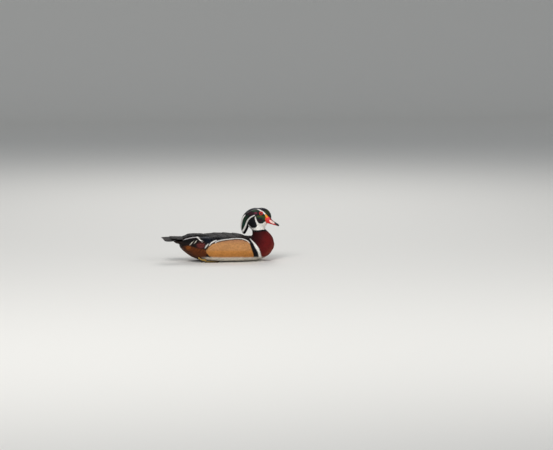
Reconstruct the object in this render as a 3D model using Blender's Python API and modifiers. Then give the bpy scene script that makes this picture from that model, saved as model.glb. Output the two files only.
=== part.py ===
# A drake wood duck at life size, resting on its belly in the pose of a floating bird, feet tucked under.
# Lengths are in metres. +X runs from the tail to the breast, +Y to the bird's left, +Z up from the floor.

import math
import random

import bmesh
import bpy
from mathutils import Matrix, Vector

# Driving dimensions
BODY_LENGTH = 0.360  # breast to tail tip
BODY_WIDTH = 0.154
BACK_HEIGHT = 0.089  # highest line of the folded wings above the floor
BREAST_X = 0.1727  # foremost point of the breast
GAP = 0.0003  # between nodes that touch
FLAT_ANGLES = [0.001 * k for k in range(24, 4, -1)]  # faces that turn less are made one, in the order tried

# Head, in a frame of its own: forward from the neck's axis, left, and up from the floor
HEAD_X = 0.116  # the neck's axis, about which the head turns
HEAD_TURN = math.radians(-27)  # to the bird's right
HEAD_WIDTH = 0.043  # across the cheeks
BILL_WIDTH = 0.0196
EYE_RADIUS = 0.0052
EYE_PLACE = (0.0195, 0.0138, 0.150)
LID_RADIUS = 0.0053
LID_THICKNESS = 0.0012

# Neck: its lower cut slopes down to the breast, its upper one is level with the collar
COLLAR_HEIGHT = 0.100
NECK_FOOT = (0.098, 0.079)
NECK_SLOPE = 0.24

# Stations of the torso: share of the length behind the breast, share of half the width,
# then belly, widest level and back as shares of the back's height
TORSO = (
    (0.0000, 0.02, 0.550, 0.56, 0.570),
    (0.0075, 0.15, 0.440, 0.56, 0.660),
    (0.0270, 0.34, 0.315, 0.55, 0.740),
    (0.0630, 0.53, 0.165, 0.54, 0.800),
    (0.1190, 0.71, 0.060, 0.52, 0.835),
    (0.1880, 0.86, 0.004, 0.49, 0.850),
    (0.2850, 0.97, -0.014, 0.47, 0.895),
    (0.4100, 1.00, -0.014, 0.47, 0.925),
    (0.5350, 0.95, -0.010, 0.48, 0.935),
    (0.6460, 0.81, 0.045, 0.52, 0.935),
    (0.7300, 0.64, 0.165, 0.57, 0.920),
    (0.7910, 0.46, 0.335, 0.63, 0.890),
    (0.8350, 0.30, 0.520, 0.68, 0.835),
)

# Stations of the neck: height, back and front of the section, half width
NECK = (
    (0.045, 0.102, 0.1690, 0.046),
    (0.060, 0.100, 0.1695, 0.045),
    (0.070, 0.101, 0.1675, 0.042),
    (0.078, 0.103, 0.1625, 0.038),
    (0.085, 0.103, 0.1570, 0.034),
    (0.092, 0.102, 0.1500, 0.030),
    (0.099, 0.100, 0.1425, 0.027),
    (0.108, 0.097, 0.1380, 0.025),
    (0.118, 0.096, 0.1360, 0.022),
)

# Stations of the head: forward, then bottom, widest level and top, and share of half the head's width
HEAD = (
    (-0.0300, 0.110, 0.129, 0.143, 0.14),
    (-0.0250, 0.102, 0.128, 0.152, 0.52),
    (-0.0150, 0.098, 0.126, 0.1600, 0.82),
    (-0.0050, 0.098, 0.125, 0.1640, 0.96),
    (0.0070, 0.098, 0.124, 0.1665, 1.00),
    (0.0190, 0.099, 0.124, 0.1670, 1.00),
    (0.0270, 0.104, 0.127, 0.1660, 0.90),
    (0.0330, 0.115, 0.130, 0.1635, 0.78),
    (0.0390, 0.121, 0.134, 0.1590, 0.66),
    (0.0450, 0.126, 0.136, 0.1510, 0.46),
    (0.0485, 0.132, 0.137, 0.1420, 0.16),
)

# Stations of the bill: forward, bottom, top, share of half the bill's width
BILL = (
    (0.0280, 0.1205, 0.1440, 0.90),
    (0.0380, 0.1175, 0.1400, 1.00),
    (0.0460, 0.1160, 0.1335, 0.94),
    (0.0520, 0.1148, 0.1280, 0.85),
    (0.0580, 0.1133, 0.1240, 0.80),
    (0.0640, 0.1120, 0.1205, 0.80),
    (0.0690, 0.1106, 0.1178, 0.73),
    (0.0725, 0.1098, 0.1155, 0.52),
    (0.0745, 0.1112, 0.1140, 0.20),
)
MOUTH_BACK = (0.034, 0.1215)
MOUTH_FRONT = (0.073, 0.1113)
NOSTRIL = (0.0525, 0.0050, 0.1245)

# Stations of the folded wing's outer face: share of the body's length behind the breast,
# share of half the body's width, widest level and top as shares of the back's height, lower edge in degrees
WING = (
    (0.2250, 0.92, 0.48, 0.880, 36),
    (0.2850, 0.98, 0.47, 0.942, 43),
    (0.4100, 1.01, 0.47, 0.990, 47),
    (0.5350, 0.98, 0.48, 1.000, 52),
    (0.5900, 0.94, 0.49, 1.000, 62),
    (0.6300, 0.90, 0.50, 1.000, 72),
    (0.6500, 0.87, 0.51, 1.000, 73),
    (0.6850, 0.80, 0.55, 1.000, 62),
    (0.7300, 0.70, 0.60, 1.000, 56),
    (0.7950, 0.47, 0.74, 0.990, 56),
    (0.8280, 0.30, 0.84, 0.965, 62),
)
WING_TOP_ANGLE = 4  # degrees from the middle of the back
WING_BED_DEPTH = 0.0085  # under the wing's face, cut out of the torso so that the vanes lie clear of it
WING_BED_FRONT = 0.0025  # its depth at its front end, from where it deepens by the slope
WING_BED_SLOPE = 0.12
WING_BED_SHARE = 0.35  # its most, as a share of half the wing's width

WING_CORE_END = 0.600  # share of the body's length behind the breast
WING_CORE_SINKS = (0.0018, 0.0060)  # how far the core lies under the wing's face, at its front and end

# Tiers of the folded wing from the lowest up: how many vanes; share and degrees round the section
# of the first root, the last root, the first tip and the last tip; half width; depths in mm, root to tip
WING_TIERS = (
    (4, (0.570, 41), (0.550, 30), (0.829, 53), (0.740, 38), 0.0062, (7.2, 5.6, 5.0, 4.7, 4.5)),
    (5, (0.520, 39), (0.515, 31), (0.660, 66), (0.702, 46), 0.0076, (6.4, 3.6, 2.9, 2.7)),
    (4, (0.470, 38), (0.470, 14), (0.765, 46), (0.822, 16), 0.0090, (5.6, 0.8, 0.3, 0.2)),
    (4, (0.390, 38), (0.400, 14), (0.530, 46), (0.560, 14), 0.0115, (5.2, 1.6, 0.5, 0.3)),
    (4, (0.300, 33), (0.310, 14), (0.450, 39), (0.470, 14), 0.0110, (4.2, 1.2, 0.3, 0.2)),
    (3, (0.230, 28), (0.230, 14), (0.350, 34), (0.355, 14), 0.0115, (2.5, 0.9, 0.2, 0.1)),
)
WING_TILT = 0.0011

# Stations of the tail: share of the length behind the breast, half width, underside, upper side, droop
TAIL = (
    (0.7700, 0.024, 0.052, 0.076, 0.004),
    (0.8300, 0.028, 0.053, 0.0785, 0.006),
    (0.8800, 0.031, 0.0605, 0.0790, 0.008),
    (0.9400, 0.034, 0.0690, 0.0780, 0.010),
    (0.9850, 0.033, 0.0715, 0.0765, 0.010),
    (1.0000, 0.031, 0.0735, 0.0757, 0.009),
)
TAIL_ROOT = 0.820  # of the flight feathers
TAIL_CORE_END = 0.885
TAIL_CORE_SHARE = 0.80  # of the tail's own half width and depth
RECTRICES = 9
RECTRIX_HALF_WIDTH = 0.0072
RECTRIX_STEP = 0.5  # how much lower in mm each one lies than the next one inwards
RECTRIX_ROOT = 8.0  # depth of its root in mm
RECTRIX_TILT = 0.0004

# Tail coverts: how many, share behind the breast of root and tip, spread as a share of the half width,
# height as a share of the depth at root and tip, half width
TAIL_COVERTS = (
    (3, 0.800, 0.890, 0.50, 0.78, 1.02, 0.0110),
    (3, 0.800, 0.920, 0.52, 0.26, 0.42, 0.0110),
)

# Middle line of the crest in the head's frame: forward, up, half thickness, half depth
CREST = (
    (0.0120, 0.1500, 0.0150, 0.0150),
    (-0.0060, 0.1500, 0.0160, 0.0155),
    (-0.0210, 0.1430, 0.0150, 0.0155),
    (-0.0320, 0.1310, 0.0135, 0.0150),
    (-0.0375, 0.1160, 0.0115, 0.0140),
    (-0.0400, 0.1020, 0.0090, 0.0120),
    (-0.0415, 0.0920, 0.0060, 0.0090),
    (-0.0425, 0.0850, 0.0020, 0.0050),
)
# Core of the crest: step along the middle line, share of the section
CREST_CORE = ((0.6, 0.95), (1.4, 0.92), (2.0, 0.80), (2.8, 0.62), (3.4, 0.40))

# Tiers of the crest from the lowest up: how many vanes, step of root and tip, degrees from the back
# of the section to the outermost vane, half width, depths in mm, root to tip
CREST_TIERS = (
    (4, 2.60, 7.00, 80, 0.0054, (7.0, 5.0, 1.8, 0.0)),
    (5, 1.90, 5.60, 105, 0.0068, (6.0, 3.2, 1.5, 0.2)),
    (4, 1.10, 4.20, 78, 0.0078, (4.0, 0.8, 0.1, 0.2)),
)
CREST_TILT = 0.0009

# The drooping plume behind each flank, as share of the length behind the breast and degrees round
# the torso's section: the root of all its vanes, then first and last tip
PLUME_ROOT = (0.622, 80)
PLUME_TIPS = ((0.748, 60), (0.772, 92))
PLUME_HEIGHTS = (0.9, 3.4, 3.0, 2.4)  # over the torso in mm, root to tip
PLUME_VANES = 4
PLUME_HALF_WIDTH = 0.0046
PLUME_STEP = 0.9  # how much higher in mm each tip stands than the last one's
PLUME_TILT = 0.00055

VANE_THICKNESS = 0.0005
NUDGE = 0.01  # step on a surface's own scale by which its slopes are taken
ROUNDED = {4: (0.60, 1.00, 0.92, 0.36), 5: (0.55, 0.88, 1.00, 0.88, 0.34)}
POINTED = {4: (0.60, 1.00, 0.74, 0.14), 5: (0.50, 0.95, 1.00, 0.72, 0.12)}
PLACES = {4: (0.0, 0.42, 0.84, 1.0), 5: (0.0, 0.30, 0.62, 0.88, 1.0)}

# Leg and foot, laid under the belly
FOOT_PLACE = (-0.052, 0.044)  # heel of the toes
FOOT_TURN = math.radians(12)
TOE_LENGTHS = (0.040, 0.046, 0.041)
TOE_ANGLES = (-22, 0, 22)
TOE_RADIUS = 0.0022
WEB_THICKNESS = 0.0014
SHANK_LENGTH = 0.030
SHANK_RADIUS = 0.0030

COLOURS = {
    "maroon": ((0.13, 0.012, 0.010), 0.6),
    "buff": ((0.50, 0.25, 0.09), 0.7),
    "green": ((0.012, 0.045, 0.020), 0.35),
    "black": ((0.012, 0.010, 0.012), 0.5),
    "bronze": ((0.030, 0.022, 0.018), 0.5),
    "red": ((0.60, 0.030, 0.015), 0.35),
    "eye": ((0.35, 0.010, 0.008), 0.08),
    "skin": ((0.36, 0.19, 0.05), 0.6),
}


def clear_scene():
    for obj in list(bpy.data.objects):
        bpy.data.objects.remove(obj, do_unlink=True)


def material(name):
    found = bpy.data.materials.get(name)
    if found:
        return found
    colour, roughness = COLOURS[name]
    made = bpy.data.materials.new(name)
    made.use_nodes = True
    shader = made.node_tree.nodes["Principled BSDF"]
    shader.inputs["Base Color"].default_value = (*colour, 1.0)
    shader.inputs["Roughness"].default_value = roughness
    shader.inputs["Metallic"].default_value = 0.0
    made.diffuse_color = (*colour, 1.0)
    return made


def new_object(name, mesh):
    obj = bpy.data.objects.new(name, mesh)
    bpy.context.scene.collection.objects.link(obj)
    return obj


def object_from_bmesh(name, made):
    mesh = bpy.data.meshes.new(name)
    made.to_mesh(mesh)
    made.free()
    return new_object(name, mesh)


def closed_object(name, made):
    # Turns the faces of a closed body outwards
    bmesh.ops.recalc_face_normals(made, faces=made.faces[:])
    if made.calc_volume(signed=True) < 0:
        bmesh.ops.reverse_faces(made, faces=made.faces[:])
    return object_from_bmesh(name, made)


def eased(place, stations, column):
    # Value of one column at a place along the stations, by a cubic that never overshoots them
    at = [row[0] for row in stations]
    value = [row[column] for row in stations]
    step = [b - a for a, b in zip(at, at[1:])]
    rise = [(b - a) / s for a, b, s in zip(value, value[1:], step)]
    slope = [rise[0]]
    for before, after in zip(rise, rise[1:]):
        slope.append(0.0 if before * after <= 0 else 2 * before * after / (before + after))
    slope.append(rise[-1])
    place = min(max(place, at[0]), at[-1])
    i = max(k for k in range(len(step)) if at[k] <= place)
    t = (place - at[i]) / step[i]
    return (
        (1 + 2 * t) * (1 - t) ** 2 * value[i]
        + t * (1 - t) ** 2 * step[i] * slope[i]
        + t * t * (3 - 2 * t) * value[i + 1]
        + t * t * (t - 1) * step[i] * slope[i + 1]
    )


def flattened(obj):
    # Joins the triangles that a cut or union left nearly in one plane, where the body stays closed
    for angle in FLAT_ANGLES:
        shapes = bmesh.new()
        shapes.from_mesh(obj.data)
        bmesh.ops.dissolve_limit(shapes, angle_limit=angle, verts=shapes.verts[:], edges=shapes.edges[:])
        bmesh.ops.triangulate(shapes, faces=[face for face in shapes.faces if len(face.verts) > 3])
        closed = all(len(edge.link_faces) == 2 for edge in shapes.edges)
        if closed:
            shapes.to_mesh(obj.data)
        shapes.free()
        if closed:
            break
    return obj


def mix(first, last, share):
    # The list a share of the way from the first one to the last
    return [a + (b - a) * share for a, b in zip(first, last)]


def spread(first, last, count):
    return [first + (last - first) * k / (count - 1) for k in range(count)]


def oval(angle, half_width, low, middle, high, power=2.0):
    # Sideways and upward place on an egg-shaped section; angle 0 is its top, and it runs to the left side
    side = math.copysign(abs(math.sin(angle)) ** (2 / power), math.sin(angle))
    lift = math.copysign(abs(math.cos(angle)) ** (2 / power), math.cos(angle))
    return half_width * side, middle + (high - middle if lift > 0 else middle - low) * lift


def loft(name, rings):
    # A closed body through rings of equal count, with a flat cap at each end
    made = bmesh.new()
    rows = [[made.verts.new(point) for point in ring] for ring in rings]
    for one, two in zip(rows, rows[1:]):
        for k in range(len(one)):
            after = (k + 1) % len(one)
            made.faces.new((one[k], one[after], two[after], two[k]))
    made.faces.new(rows[0][::-1])
    made.faces.new(rows[-1])
    bmesh.ops.triangulate(made, faces=made.faces[:])
    return closed_object(name, made)


def applied(obj):
    # The object with its modifiers made part of its mesh
    graph = bpy.context.evaluated_depsgraph_get()
    mesh = bpy.data.meshes.new_from_object(obj.evaluated_get(graph))
    obj.modifiers.clear()
    obj.data = mesh
    return obj


def copy_of(obj, name):
    return new_object(name, obj.data.copy())


def joined(obj, pieces):
    # One union of the object and the closed pieces, which are then removed
    group = bpy.data.collections.new("pieces")
    bpy.context.scene.collection.children.link(group)
    for piece in pieces:
        bpy.context.scene.collection.objects.unlink(piece)
        group.objects.link(piece)
    union = obj.modifiers.new("union", "BOOLEAN")
    union.operation = "UNION"
    union.solver = "MANIFOLD"
    union.operand_type = "COLLECTION"
    union.collection = group
    applied(obj)
    for piece in list(group.objects):
        bpy.data.objects.remove(piece, do_unlink=True)
    bpy.data.collections.remove(group)
    return obj


def cut(obj, cutter):
    # Takes the cutter's form out of the object, and removes the cutter
    difference = obj.modifiers.new("cut", "BOOLEAN")
    difference.operation = "DIFFERENCE"
    difference.solver = "MANIFOLD"
    difference.object = cutter
    applied(obj)
    bpy.data.objects.remove(cutter, do_unlink=True)
    return obj


def grown(obj, distance=GAP):
    # A copy whose surface stands off the object's by the distance
    swollen = copy_of(obj, obj.name + "_grown")
    shapes = bmesh.new()
    shapes.from_mesh(swollen.data)
    shapes.normal_update()
    offsets = [(vertex, vertex.co + vertex.normal * distance) for vertex in shapes.verts]
    for vertex, place in offsets:
        vertex.co = place
    shapes.to_mesh(swollen.data)
    shapes.free()
    return swollen


def largest_part(obj):
    # Keeps the closed surface with the most volume
    shapes = bmesh.new()
    shapes.from_mesh(obj.data)
    unseen = set(shapes.faces)
    groups = []
    while unseen:
        stack = [unseen.pop()]
        group = set(stack)
        while stack:
            for edge in stack.pop().edges:
                for face in edge.link_faces:
                    if face in unseen:
                        unseen.discard(face)
                        group.add(face)
                        stack.append(face)
        groups.append(group)

    def volume(group):
        total = 0.0
        for face in group:
            corners = [vertex.co for vertex in face.verts]
            for second, third in zip(corners[1:], corners[2:]):
                total += corners[0].dot(second.cross(third)) / 6
        return total

    best = max(groups, key=volume)
    loose = [face for group in groups if group is not best for face in group]
    bmesh.ops.delete(shapes, geom=loose, context="FACES")
    bmesh.ops.delete(shapes, geom=[v for v in shapes.verts if not v.link_faces], context="VERTS")
    shapes.to_mesh(obj.data)
    shapes.free()
    return obj


def cut_by_plane(obj, point, normal):
    # Takes away what lies beyond the plane and closes the cut
    shapes = bmesh.new()
    shapes.from_mesh(obj.data)
    bmesh.ops.bisect_plane(
        shapes,
        geom=shapes.verts[:] + shapes.edges[:] + shapes.faces[:],
        dist=1e-7,
        plane_co=point,
        plane_no=normal,
        clear_outer=True,
    )
    rim = [edge for edge in shapes.edges if edge.is_boundary]
    bmesh.ops.holes_fill(shapes, edges=rim, sides=0)
    bmesh.ops.triangulate(shapes, faces=[face for face in shapes.faces if len(face.verts) > 3])
    shapes.to_mesh(obj.data)
    shapes.free()
    return obj


def ball(name, place, radii, segments=20, rings=12):
    made = bmesh.new()
    bmesh.ops.create_uvsphere(made, u_segments=segments, v_segments=rings, radius=1.0)
    bmesh.ops.transform(
        made, matrix=Matrix.Translation(place) @ Matrix.Diagonal((*radii, 1.0)), verts=made.verts[:]
    )
    return object_from_bmesh(name, made)


def vane(name, surface, hand, places, depths, half_width, shape, tilt):
    # One feather laid along places on a surface, each with its depth in mm, as a closed body tapered by
    # the shape. It curves as the surface does, and the tilt lifts one edge and lowers the other, so that
    # neighbours overlap without crossing. The hand is the sign that turns the surface's normal outwards
    made = bmesh.new()
    quill = [surface(*place) for place in places]
    last = len(places) - 1
    rows = []
    for k, (u, v) in enumerate(places):
        along_u = (surface(u + NUDGE, v) - surface(u - NUDGE, v)) / (2 * NUDGE)
        along_v = (surface(u, v + NUDGE) - surface(u, v - NUDGE)) / (2 * NUDGE)
        up = hand * along_u.cross(along_v).normalized()
        run = quill[min(k + 1, last)] - quill[max(k - 1, 0)]
        edge = run.cross(up).normalized() * half_width * shape[k]
        sheared = along_v.dot(along_u) / along_u.dot(along_u)
        square = along_v - sheared * along_u
        step_v = edge.dot(square) / square.dot(square)
        step_u = edge.dot(along_u) / along_u.dot(along_u) - sheared * step_v
        row = []
        for way, thickness in ((-1, 0), (0, 0), (1, 0), (1, 1), (0, 1), (-1, 1)):
            point = surface(u + way * step_u, v + way * step_v)
            row.append(point - up * (depths[k] / 1000 - way * tilt * shape[k] + thickness * VANE_THICKNESS))
        rows.append([made.verts.new(point) for point in row])
    for one, two in zip(rows, rows[1:]):
        for k in range(6):
            after = (k + 1) % 6
            made.faces.new((one[k], one[after], two[after], two[k]))
    for row in (rows[0], rows[-1]):
        made.faces.new((row[0], row[1], row[4], row[5]))
        made.faces.new((row[1], row[2], row[3], row[4]))
    bmesh.ops.triangulate(made, faces=made.faces[:], quad_method="FIXED")
    return closed_object(name, made)


def in_head(point):
    # From the head's own frame to the bird's
    forward, left, up = point
    turn = Matrix.Rotation(HEAD_TURN, 3, "Z")
    return turn @ Vector((forward, left, 0.0)) + Vector((HEAD_X, 0.0, up))


def behind(share):
    return BREAST_X - share * BODY_LENGTH


def torso_point(share, angle):
    values = [eased(share, TORSO, column) for column in range(1, 5)]
    half = values[0] * BODY_WIDTH / 2
    low, middle, high = (value * BACK_HEIGHT for value in values[1:])
    return Vector((behind(share), *oval(angle, half, low, middle, high, 2.15)))


def torso_ring(share, sides):
    return [torso_point(share, 2 * math.pi * k / sides) for k in range(sides)]


def neck_ring(height, sides):
    back, front, half = (eased(height, NECK, column) for column in range(1, 4))
    middle, reach = (back + front) / 2, (front - back) / 2
    ring = []
    for angle in spread(0, 2 * math.pi, sides + 1)[:-1]:
        ring.append(Vector((middle + reach * math.cos(angle), half * math.sin(angle), height)))
    return ring


def head_ring(forward, sides):
    low, middle, high, share = (eased(forward, HEAD, column) for column in range(1, 5))
    half = share * HEAD_WIDTH / 2
    return [
        in_head((forward, *oval(2 * math.pi * k / sides, half, low, middle, high)))
        for k in range(sides)
    ]


def along(stations, count):
    # Places along the stations, close together where the stations are
    last = len(stations) - 1
    places = []
    for k in range(count):
        position = last * k / (count - 1)
        i = min(int(position), last - 1)
        places.append(stations[i][0] + (position - i) * (stations[i + 1][0] - stations[i][0]))
    return places


def flesh():
    # Torso, neck and head as one smooth skin
    torso = loft("flesh", [torso_ring(share, 48) for share in along(TORSO, 49)])
    neck = loft("neck_form", [neck_ring(height, 40) for height in along(NECK, 33)])
    head = loft("head_form", [head_ring(forward, 40) for forward in along(HEAD, 41)])
    joined(torso, [neck, head])
    skin = torso.modifiers.new("even", "REMESH")
    skin.mode = "VOXEL"
    skin.voxel_size = 0.0026
    smooth = torso.modifiers.new("smooth", "SMOOTH")
    smooth.factor = 0.5
    smooth.iterations = 6
    thin = torso.modifiers.new("thin", "DECIMATE")
    thin.ratio = 0.10
    return applied(torso)


def torso_neck_head():
    whole = flesh()
    cut_by_plane(whole, (0, 0, 0), (0, 0, -1))
    foot = Vector((NECK_FOOT[0], 0, NECK_FOOT[1]))
    slope = Vector((NECK_SLOPE, 0, 1)).normalized()
    collar = Vector((0, 0, COLLAR_HEIGHT))
    up = Vector((0, 0, 1))
    head = copy_of(whole, "head")
    cut_by_plane(head, collar + up * GAP / 2, -up)
    neck = copy_of(whole, "neck")
    cut_by_plane(neck, collar - up * GAP / 2, up)
    cut_by_plane(neck, foot + slope * GAP / 2, -slope)
    torso = copy_of(whole, "torso")
    cut_by_plane(torso, foot - slope * GAP / 2, slope)
    bpy.data.objects.remove(whole, do_unlink=True)
    return torso, neck, head


def bill_ring(forward, sides):
    low, high, share = (eased(forward, BILL, column) for column in range(1, 4))
    half = share * BILL_WIDTH / 2
    return [
        in_head((forward, *oval(2 * math.pi * k / sides, half, low, low + 0.42 * (high - low), high, 2.3)))
        for k in range(sides)
    ]


def bill(head):
    # Both mandibles, parted along the line of the mouth
    whole = loft("bill", [bill_ring(forward, 20) for forward in along(BILL, 15)])
    cut(whole, grown(head))
    largest_part(whole)
    back = in_head((MOUTH_BACK[0], 0, MOUTH_BACK[1]))
    front = in_head((MOUTH_FRONT[0], 0, MOUTH_FRONT[1]))
    up = (front - back).cross(in_head((0, -1, 0)) - in_head((0, 0, 0))).normalized()
    if up.z < 0:
        up = -up
    upper = copy_of(whole, "bill_upper")
    cut_by_plane(upper, back + up * GAP / 2, -up)
    lower = copy_of(whole, "bill_lower")
    cut_by_plane(lower, back - up * GAP / 2, up)
    bpy.data.objects.remove(whole, do_unlink=True)
    for side in (-1, 1):
        forward, left, height = NOSTRIL
        pit = ball("nostril", in_head((forward, side * left, height)), (0.0026, 0.0016, 0.0011), 10, 6)
        cut(upper, pit)
    return flattened(largest_part(upper)), flattened(largest_part(lower))


def side_name(base, side):
    return base + ("_left" if side > 0 else "_right")


def eye_centre(side):
    forward, left, height = EYE_PLACE
    return in_head((forward, side * left, height))


def eye(side, head):
    place = eye_centre(side)
    cut(head, ball("socket", place, (EYE_RADIUS + GAP,) * 3, 20, 12))
    return ball(side_name("eye", side), place, (EYE_RADIUS,) * 3, 16, 10)


def lid(side, head):
    # The bare ring round the eye, seated on the head
    outward = (in_head((0.05, side * 1.0, 0.10)) - in_head((0, 0, 0))).normalized()
    made = bmesh.new()
    profile = [
        made.verts.new((LID_RADIUS + LID_THICKNESS * math.cos(a), 0, 1.5 * LID_THICKNESS * math.sin(a)))
        for a in spread(0, 2 * math.pi, 7)[:-1]
    ]
    edges = [made.edges.new((profile[k], profile[(k + 1) % 6])) for k in range(6)]
    bmesh.ops.spin(
        made,
        geom=profile + edges,
        axis=(0, 0, 1),
        cent=(0, 0, 0),
        steps=18,
        angle=2 * math.pi,
        use_merge=True,
    )
    facing = outward.to_track_quat("Z", "Y").to_matrix().to_4x4()
    place = Matrix.Translation(eye_centre(side) + outward * 0.0027)
    bmesh.ops.transform(made, matrix=place @ facing, verts=made.verts[:])
    ring = closed_object(side_name("eyelid", side), made)
    cut(ring, grown(head))
    cut(ring, ball("inside", eye_centre(side), (EYE_RADIUS + GAP,) * 3, 16, 8))
    return flattened(largest_part(ring))


def crest_line(step):
    rows = [(k, *row) for k, row in enumerate(CREST)]
    return [eased(step, rows, column) for column in range(1, 5)]


def crest_point(step, angle, share=1.0):
    # A place on the crest's section at a step of its middle line; angle 0 is its outer side
    last = len(CREST) - 1
    forward, up, thick, deep = crest_line(step)
    before = crest_line(max(step - 0.1, 0))
    after = crest_line(min(step + 0.1, last))
    run = Vector((after[0] - before[0], after[1] - before[1])).normalized()
    across, out = oval(angle, share * thick, -share * deep, 0, share * deep)
    return in_head((forward + run.y * out, across, up - run.x * out))


def crest(head, torso):
    # Long tapered vanes in tiers, rooted on a core that ends half way down
    rings = []
    for step, share in CREST_CORE:
        rings.append([crest_point(step, 2 * math.pi * (k + 0.5) / 8, share) for k in range(8)])
    made = loft("crest", rings)
    draw = random.Random(3)
    vanes = []
    for count, root, tip, reach, half_width, depths in CREST_TIERS:
        for angle in spread(-reach, reach, count):
            length = tip - root - draw.uniform(0.0, 0.3) - 0.25 * abs(angle / reach)
            shift = draw.uniform(-3, 3)
            places = []
            for place in PLACES[len(depths)]:
                here = math.radians((angle + shift) * (1 - 0.12 * place))
                places.append((root + length * place, here))
            tilt = CREST_TILT * ((angle > 1) - (angle < -1))
            shape = POINTED[len(depths)]
            vanes.append(vane("crest_vane", crest_point, -1, places, depths, half_width, shape, tilt))
    joined(made, vanes)
    cut(made, grown(head))
    cut(made, grown(torso))
    return flattened(largest_part(made))


def wing_point(share, angle, side, depth=0.0):
    half, middle, high = (eased(share, WING, column) for column in range(1, 4))
    half = half * BODY_WIDTH / 2 - depth
    middle *= BACK_HEIGHT
    high = high * BACK_HEIGHT - depth
    across, up = oval(angle, half, middle - (high - middle), middle, high, 2.1)
    return Vector((behind(share), side * across, up))


def wing_form(name, side, shares, sinks, depth, margin):
    # A smooth slice of the folded wing from a depth under its outer face down to another
    rings = []
    top = math.radians(WING_TOP_ANGLE)
    for share, sink in zip(shares, sinks):
        low = math.radians(eased(share, WING, 4) + margin)
        outer = [wing_point(share, angle, side, sink) for angle in spread(top, low, 5)]
        shallow = WING_BED_FRONT + WING_BED_SLOPE * (share - WING[0][0])
        deep = min(depth, WING_BED_SHARE * eased(share, WING, 1) * BODY_WIDTH / 2, shallow)
        inner = [wing_point(share, angle, side, deep) for angle in spread(low, top, 4)]
        rings.append(outer + inner)
    return loft(name, rings)


def wing_bed(side):
    # Taken out of the torso, so that the wing's vanes lie clear of it
    shares = spread(WING[0][0], WING[-1][0] + 0.03, 8)
    return wing_form("wing_bed", side, shares, [-0.004] * 8, WING_BED_DEPTH, 1)


def wing_core(side):
    shares = spread(WING[0][0] + 0.002, WING_CORE_END, 5)
    sinks = spread(*WING_CORE_SINKS, 5)
    return wing_form(side_name("wing", side), side, shares, sinks, WING_BED_DEPTH + 0.002, -1)


def between(root, tip, places):
    # Share and angle at places between two ends, whose angles are in degrees
    points = [mix(root, tip, place) for place in places]
    return [(share, math.radians(angle)) for share, angle in points]


def wing(side, torso, others):
    # The folded wing: tiers of vanes on a core, each tier over the roots of the one behind
    def face(share, angle):
        return wing_point(share, angle, side)

    made = wing_core(side)
    draw = random.Random(5)
    vanes = []
    for count, root_one, root_two, tip_one, tip_two, half_width, depths in WING_TIERS:
        rows = len(depths)
        for share in spread(0, 1, count):
            root = mix(root_one, root_two, share)
            tip = mix(tip_one, tip_two, share)
            tip[0] += draw.uniform(-0.004, 0.004)
            tip[1] += draw.uniform(-0.8, 0.8)
            width = half_width * draw.uniform(0.96, 1.04)
            places = between(root, tip, PLACES[rows])
            tilt = side * WING_TILT
            vanes.append(vane("wing_vane", face, -side, places, depths, width, ROUNDED[rows], tilt))
    joined(made, vanes)
    for other in (torso, *others):
        cut(made, grown(other))
    return flattened(largest_part(made))


def tail_point(share, across, height):
    # A place in the tail: across and height run from -1 to 1 and 0 to 1 over its section
    half, low, high, droop = (eased(share, TAIL, column) for column in range(1, 5))
    return Vector((behind(share), across * half, low + height * (high - low) - droop * across * across))


def tail_face(share, across):
    return tail_point(share, across, 1.0)


def rectrix(away, reach):
    # One flight feather of the tail; away runs from -1 to 1 across the fan
    places = []
    depths = []
    for place in PLACES[4]:
        places.append((TAIL_ROOT + (reach - TAIL_ROOT) * place, away * (0.66 + 0.16 * place)))
        depths.append(RECTRIX_STEP * abs(away) * RECTRICES / 2 + RECTRIX_ROOT * (1 - place) ** 4)
    tilt = RECTRIX_TILT * ((away > 0.01) - (away < -0.01))
    return vane("rectrix", tail_face, -1, places, depths, RECTRIX_HALF_WIDTH, ROUNDED[4], tilt)


def tail_covert(away, root, tip, low, high, half_width):
    upward = 1 if high > 0.5 else -1

    def face(share, across):
        return tail_point(share, across, (1 + upward) / 2)

    places = []
    depths = []
    for place in PLACES[4]:
        share, height = mix((root, low), (tip, high), place)
        inward = 1 - height if upward > 0 else height
        places.append((share, away))
        depths.append(1000 * inward * (eased(share, TAIL, 3) - eased(share, TAIL, 2)))
    tilt = WING_TILT * ((away > 0.01) - (away < -0.01))
    return vane("covert", face, -upward, places, depths, half_width, ROUNDED[4], tilt)


def tail(torso):
    # Flight feathers in a fan with coverts above and below, on a core half as long
    rings = []
    for share in spread(TAIL[0][0], TAIL_CORE_END, 3):
        ring = []
        for k in range(8):
            across, height = oval(2 * math.pi * (k + 0.5) / 8, TAIL_CORE_SHARE, -0.44, 0, 0.40, 2.4)
            ring.append(tail_point(share, across, 0.5 + height))
        rings.append(ring)
    made = loft("tail", rings)
    draw = random.Random(9)
    vanes = []
    for away in spread(-1, 1, RECTRICES):
        vanes.append(rectrix(away, 1.0 - 0.022 * away * away - draw.uniform(0, 0.004)))
    for count, root, tip, reach, low, high, half_width in TAIL_COVERTS:
        for away in spread(-reach, reach, count):
            end = tip - draw.uniform(0, 0.008) - 0.02 * abs(away)
            vanes.append(tail_covert(away, root, end, low, high, half_width))
    joined(made, vanes)
    cut(made, grown(torso))
    return flattened(largest_part(made))


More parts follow.
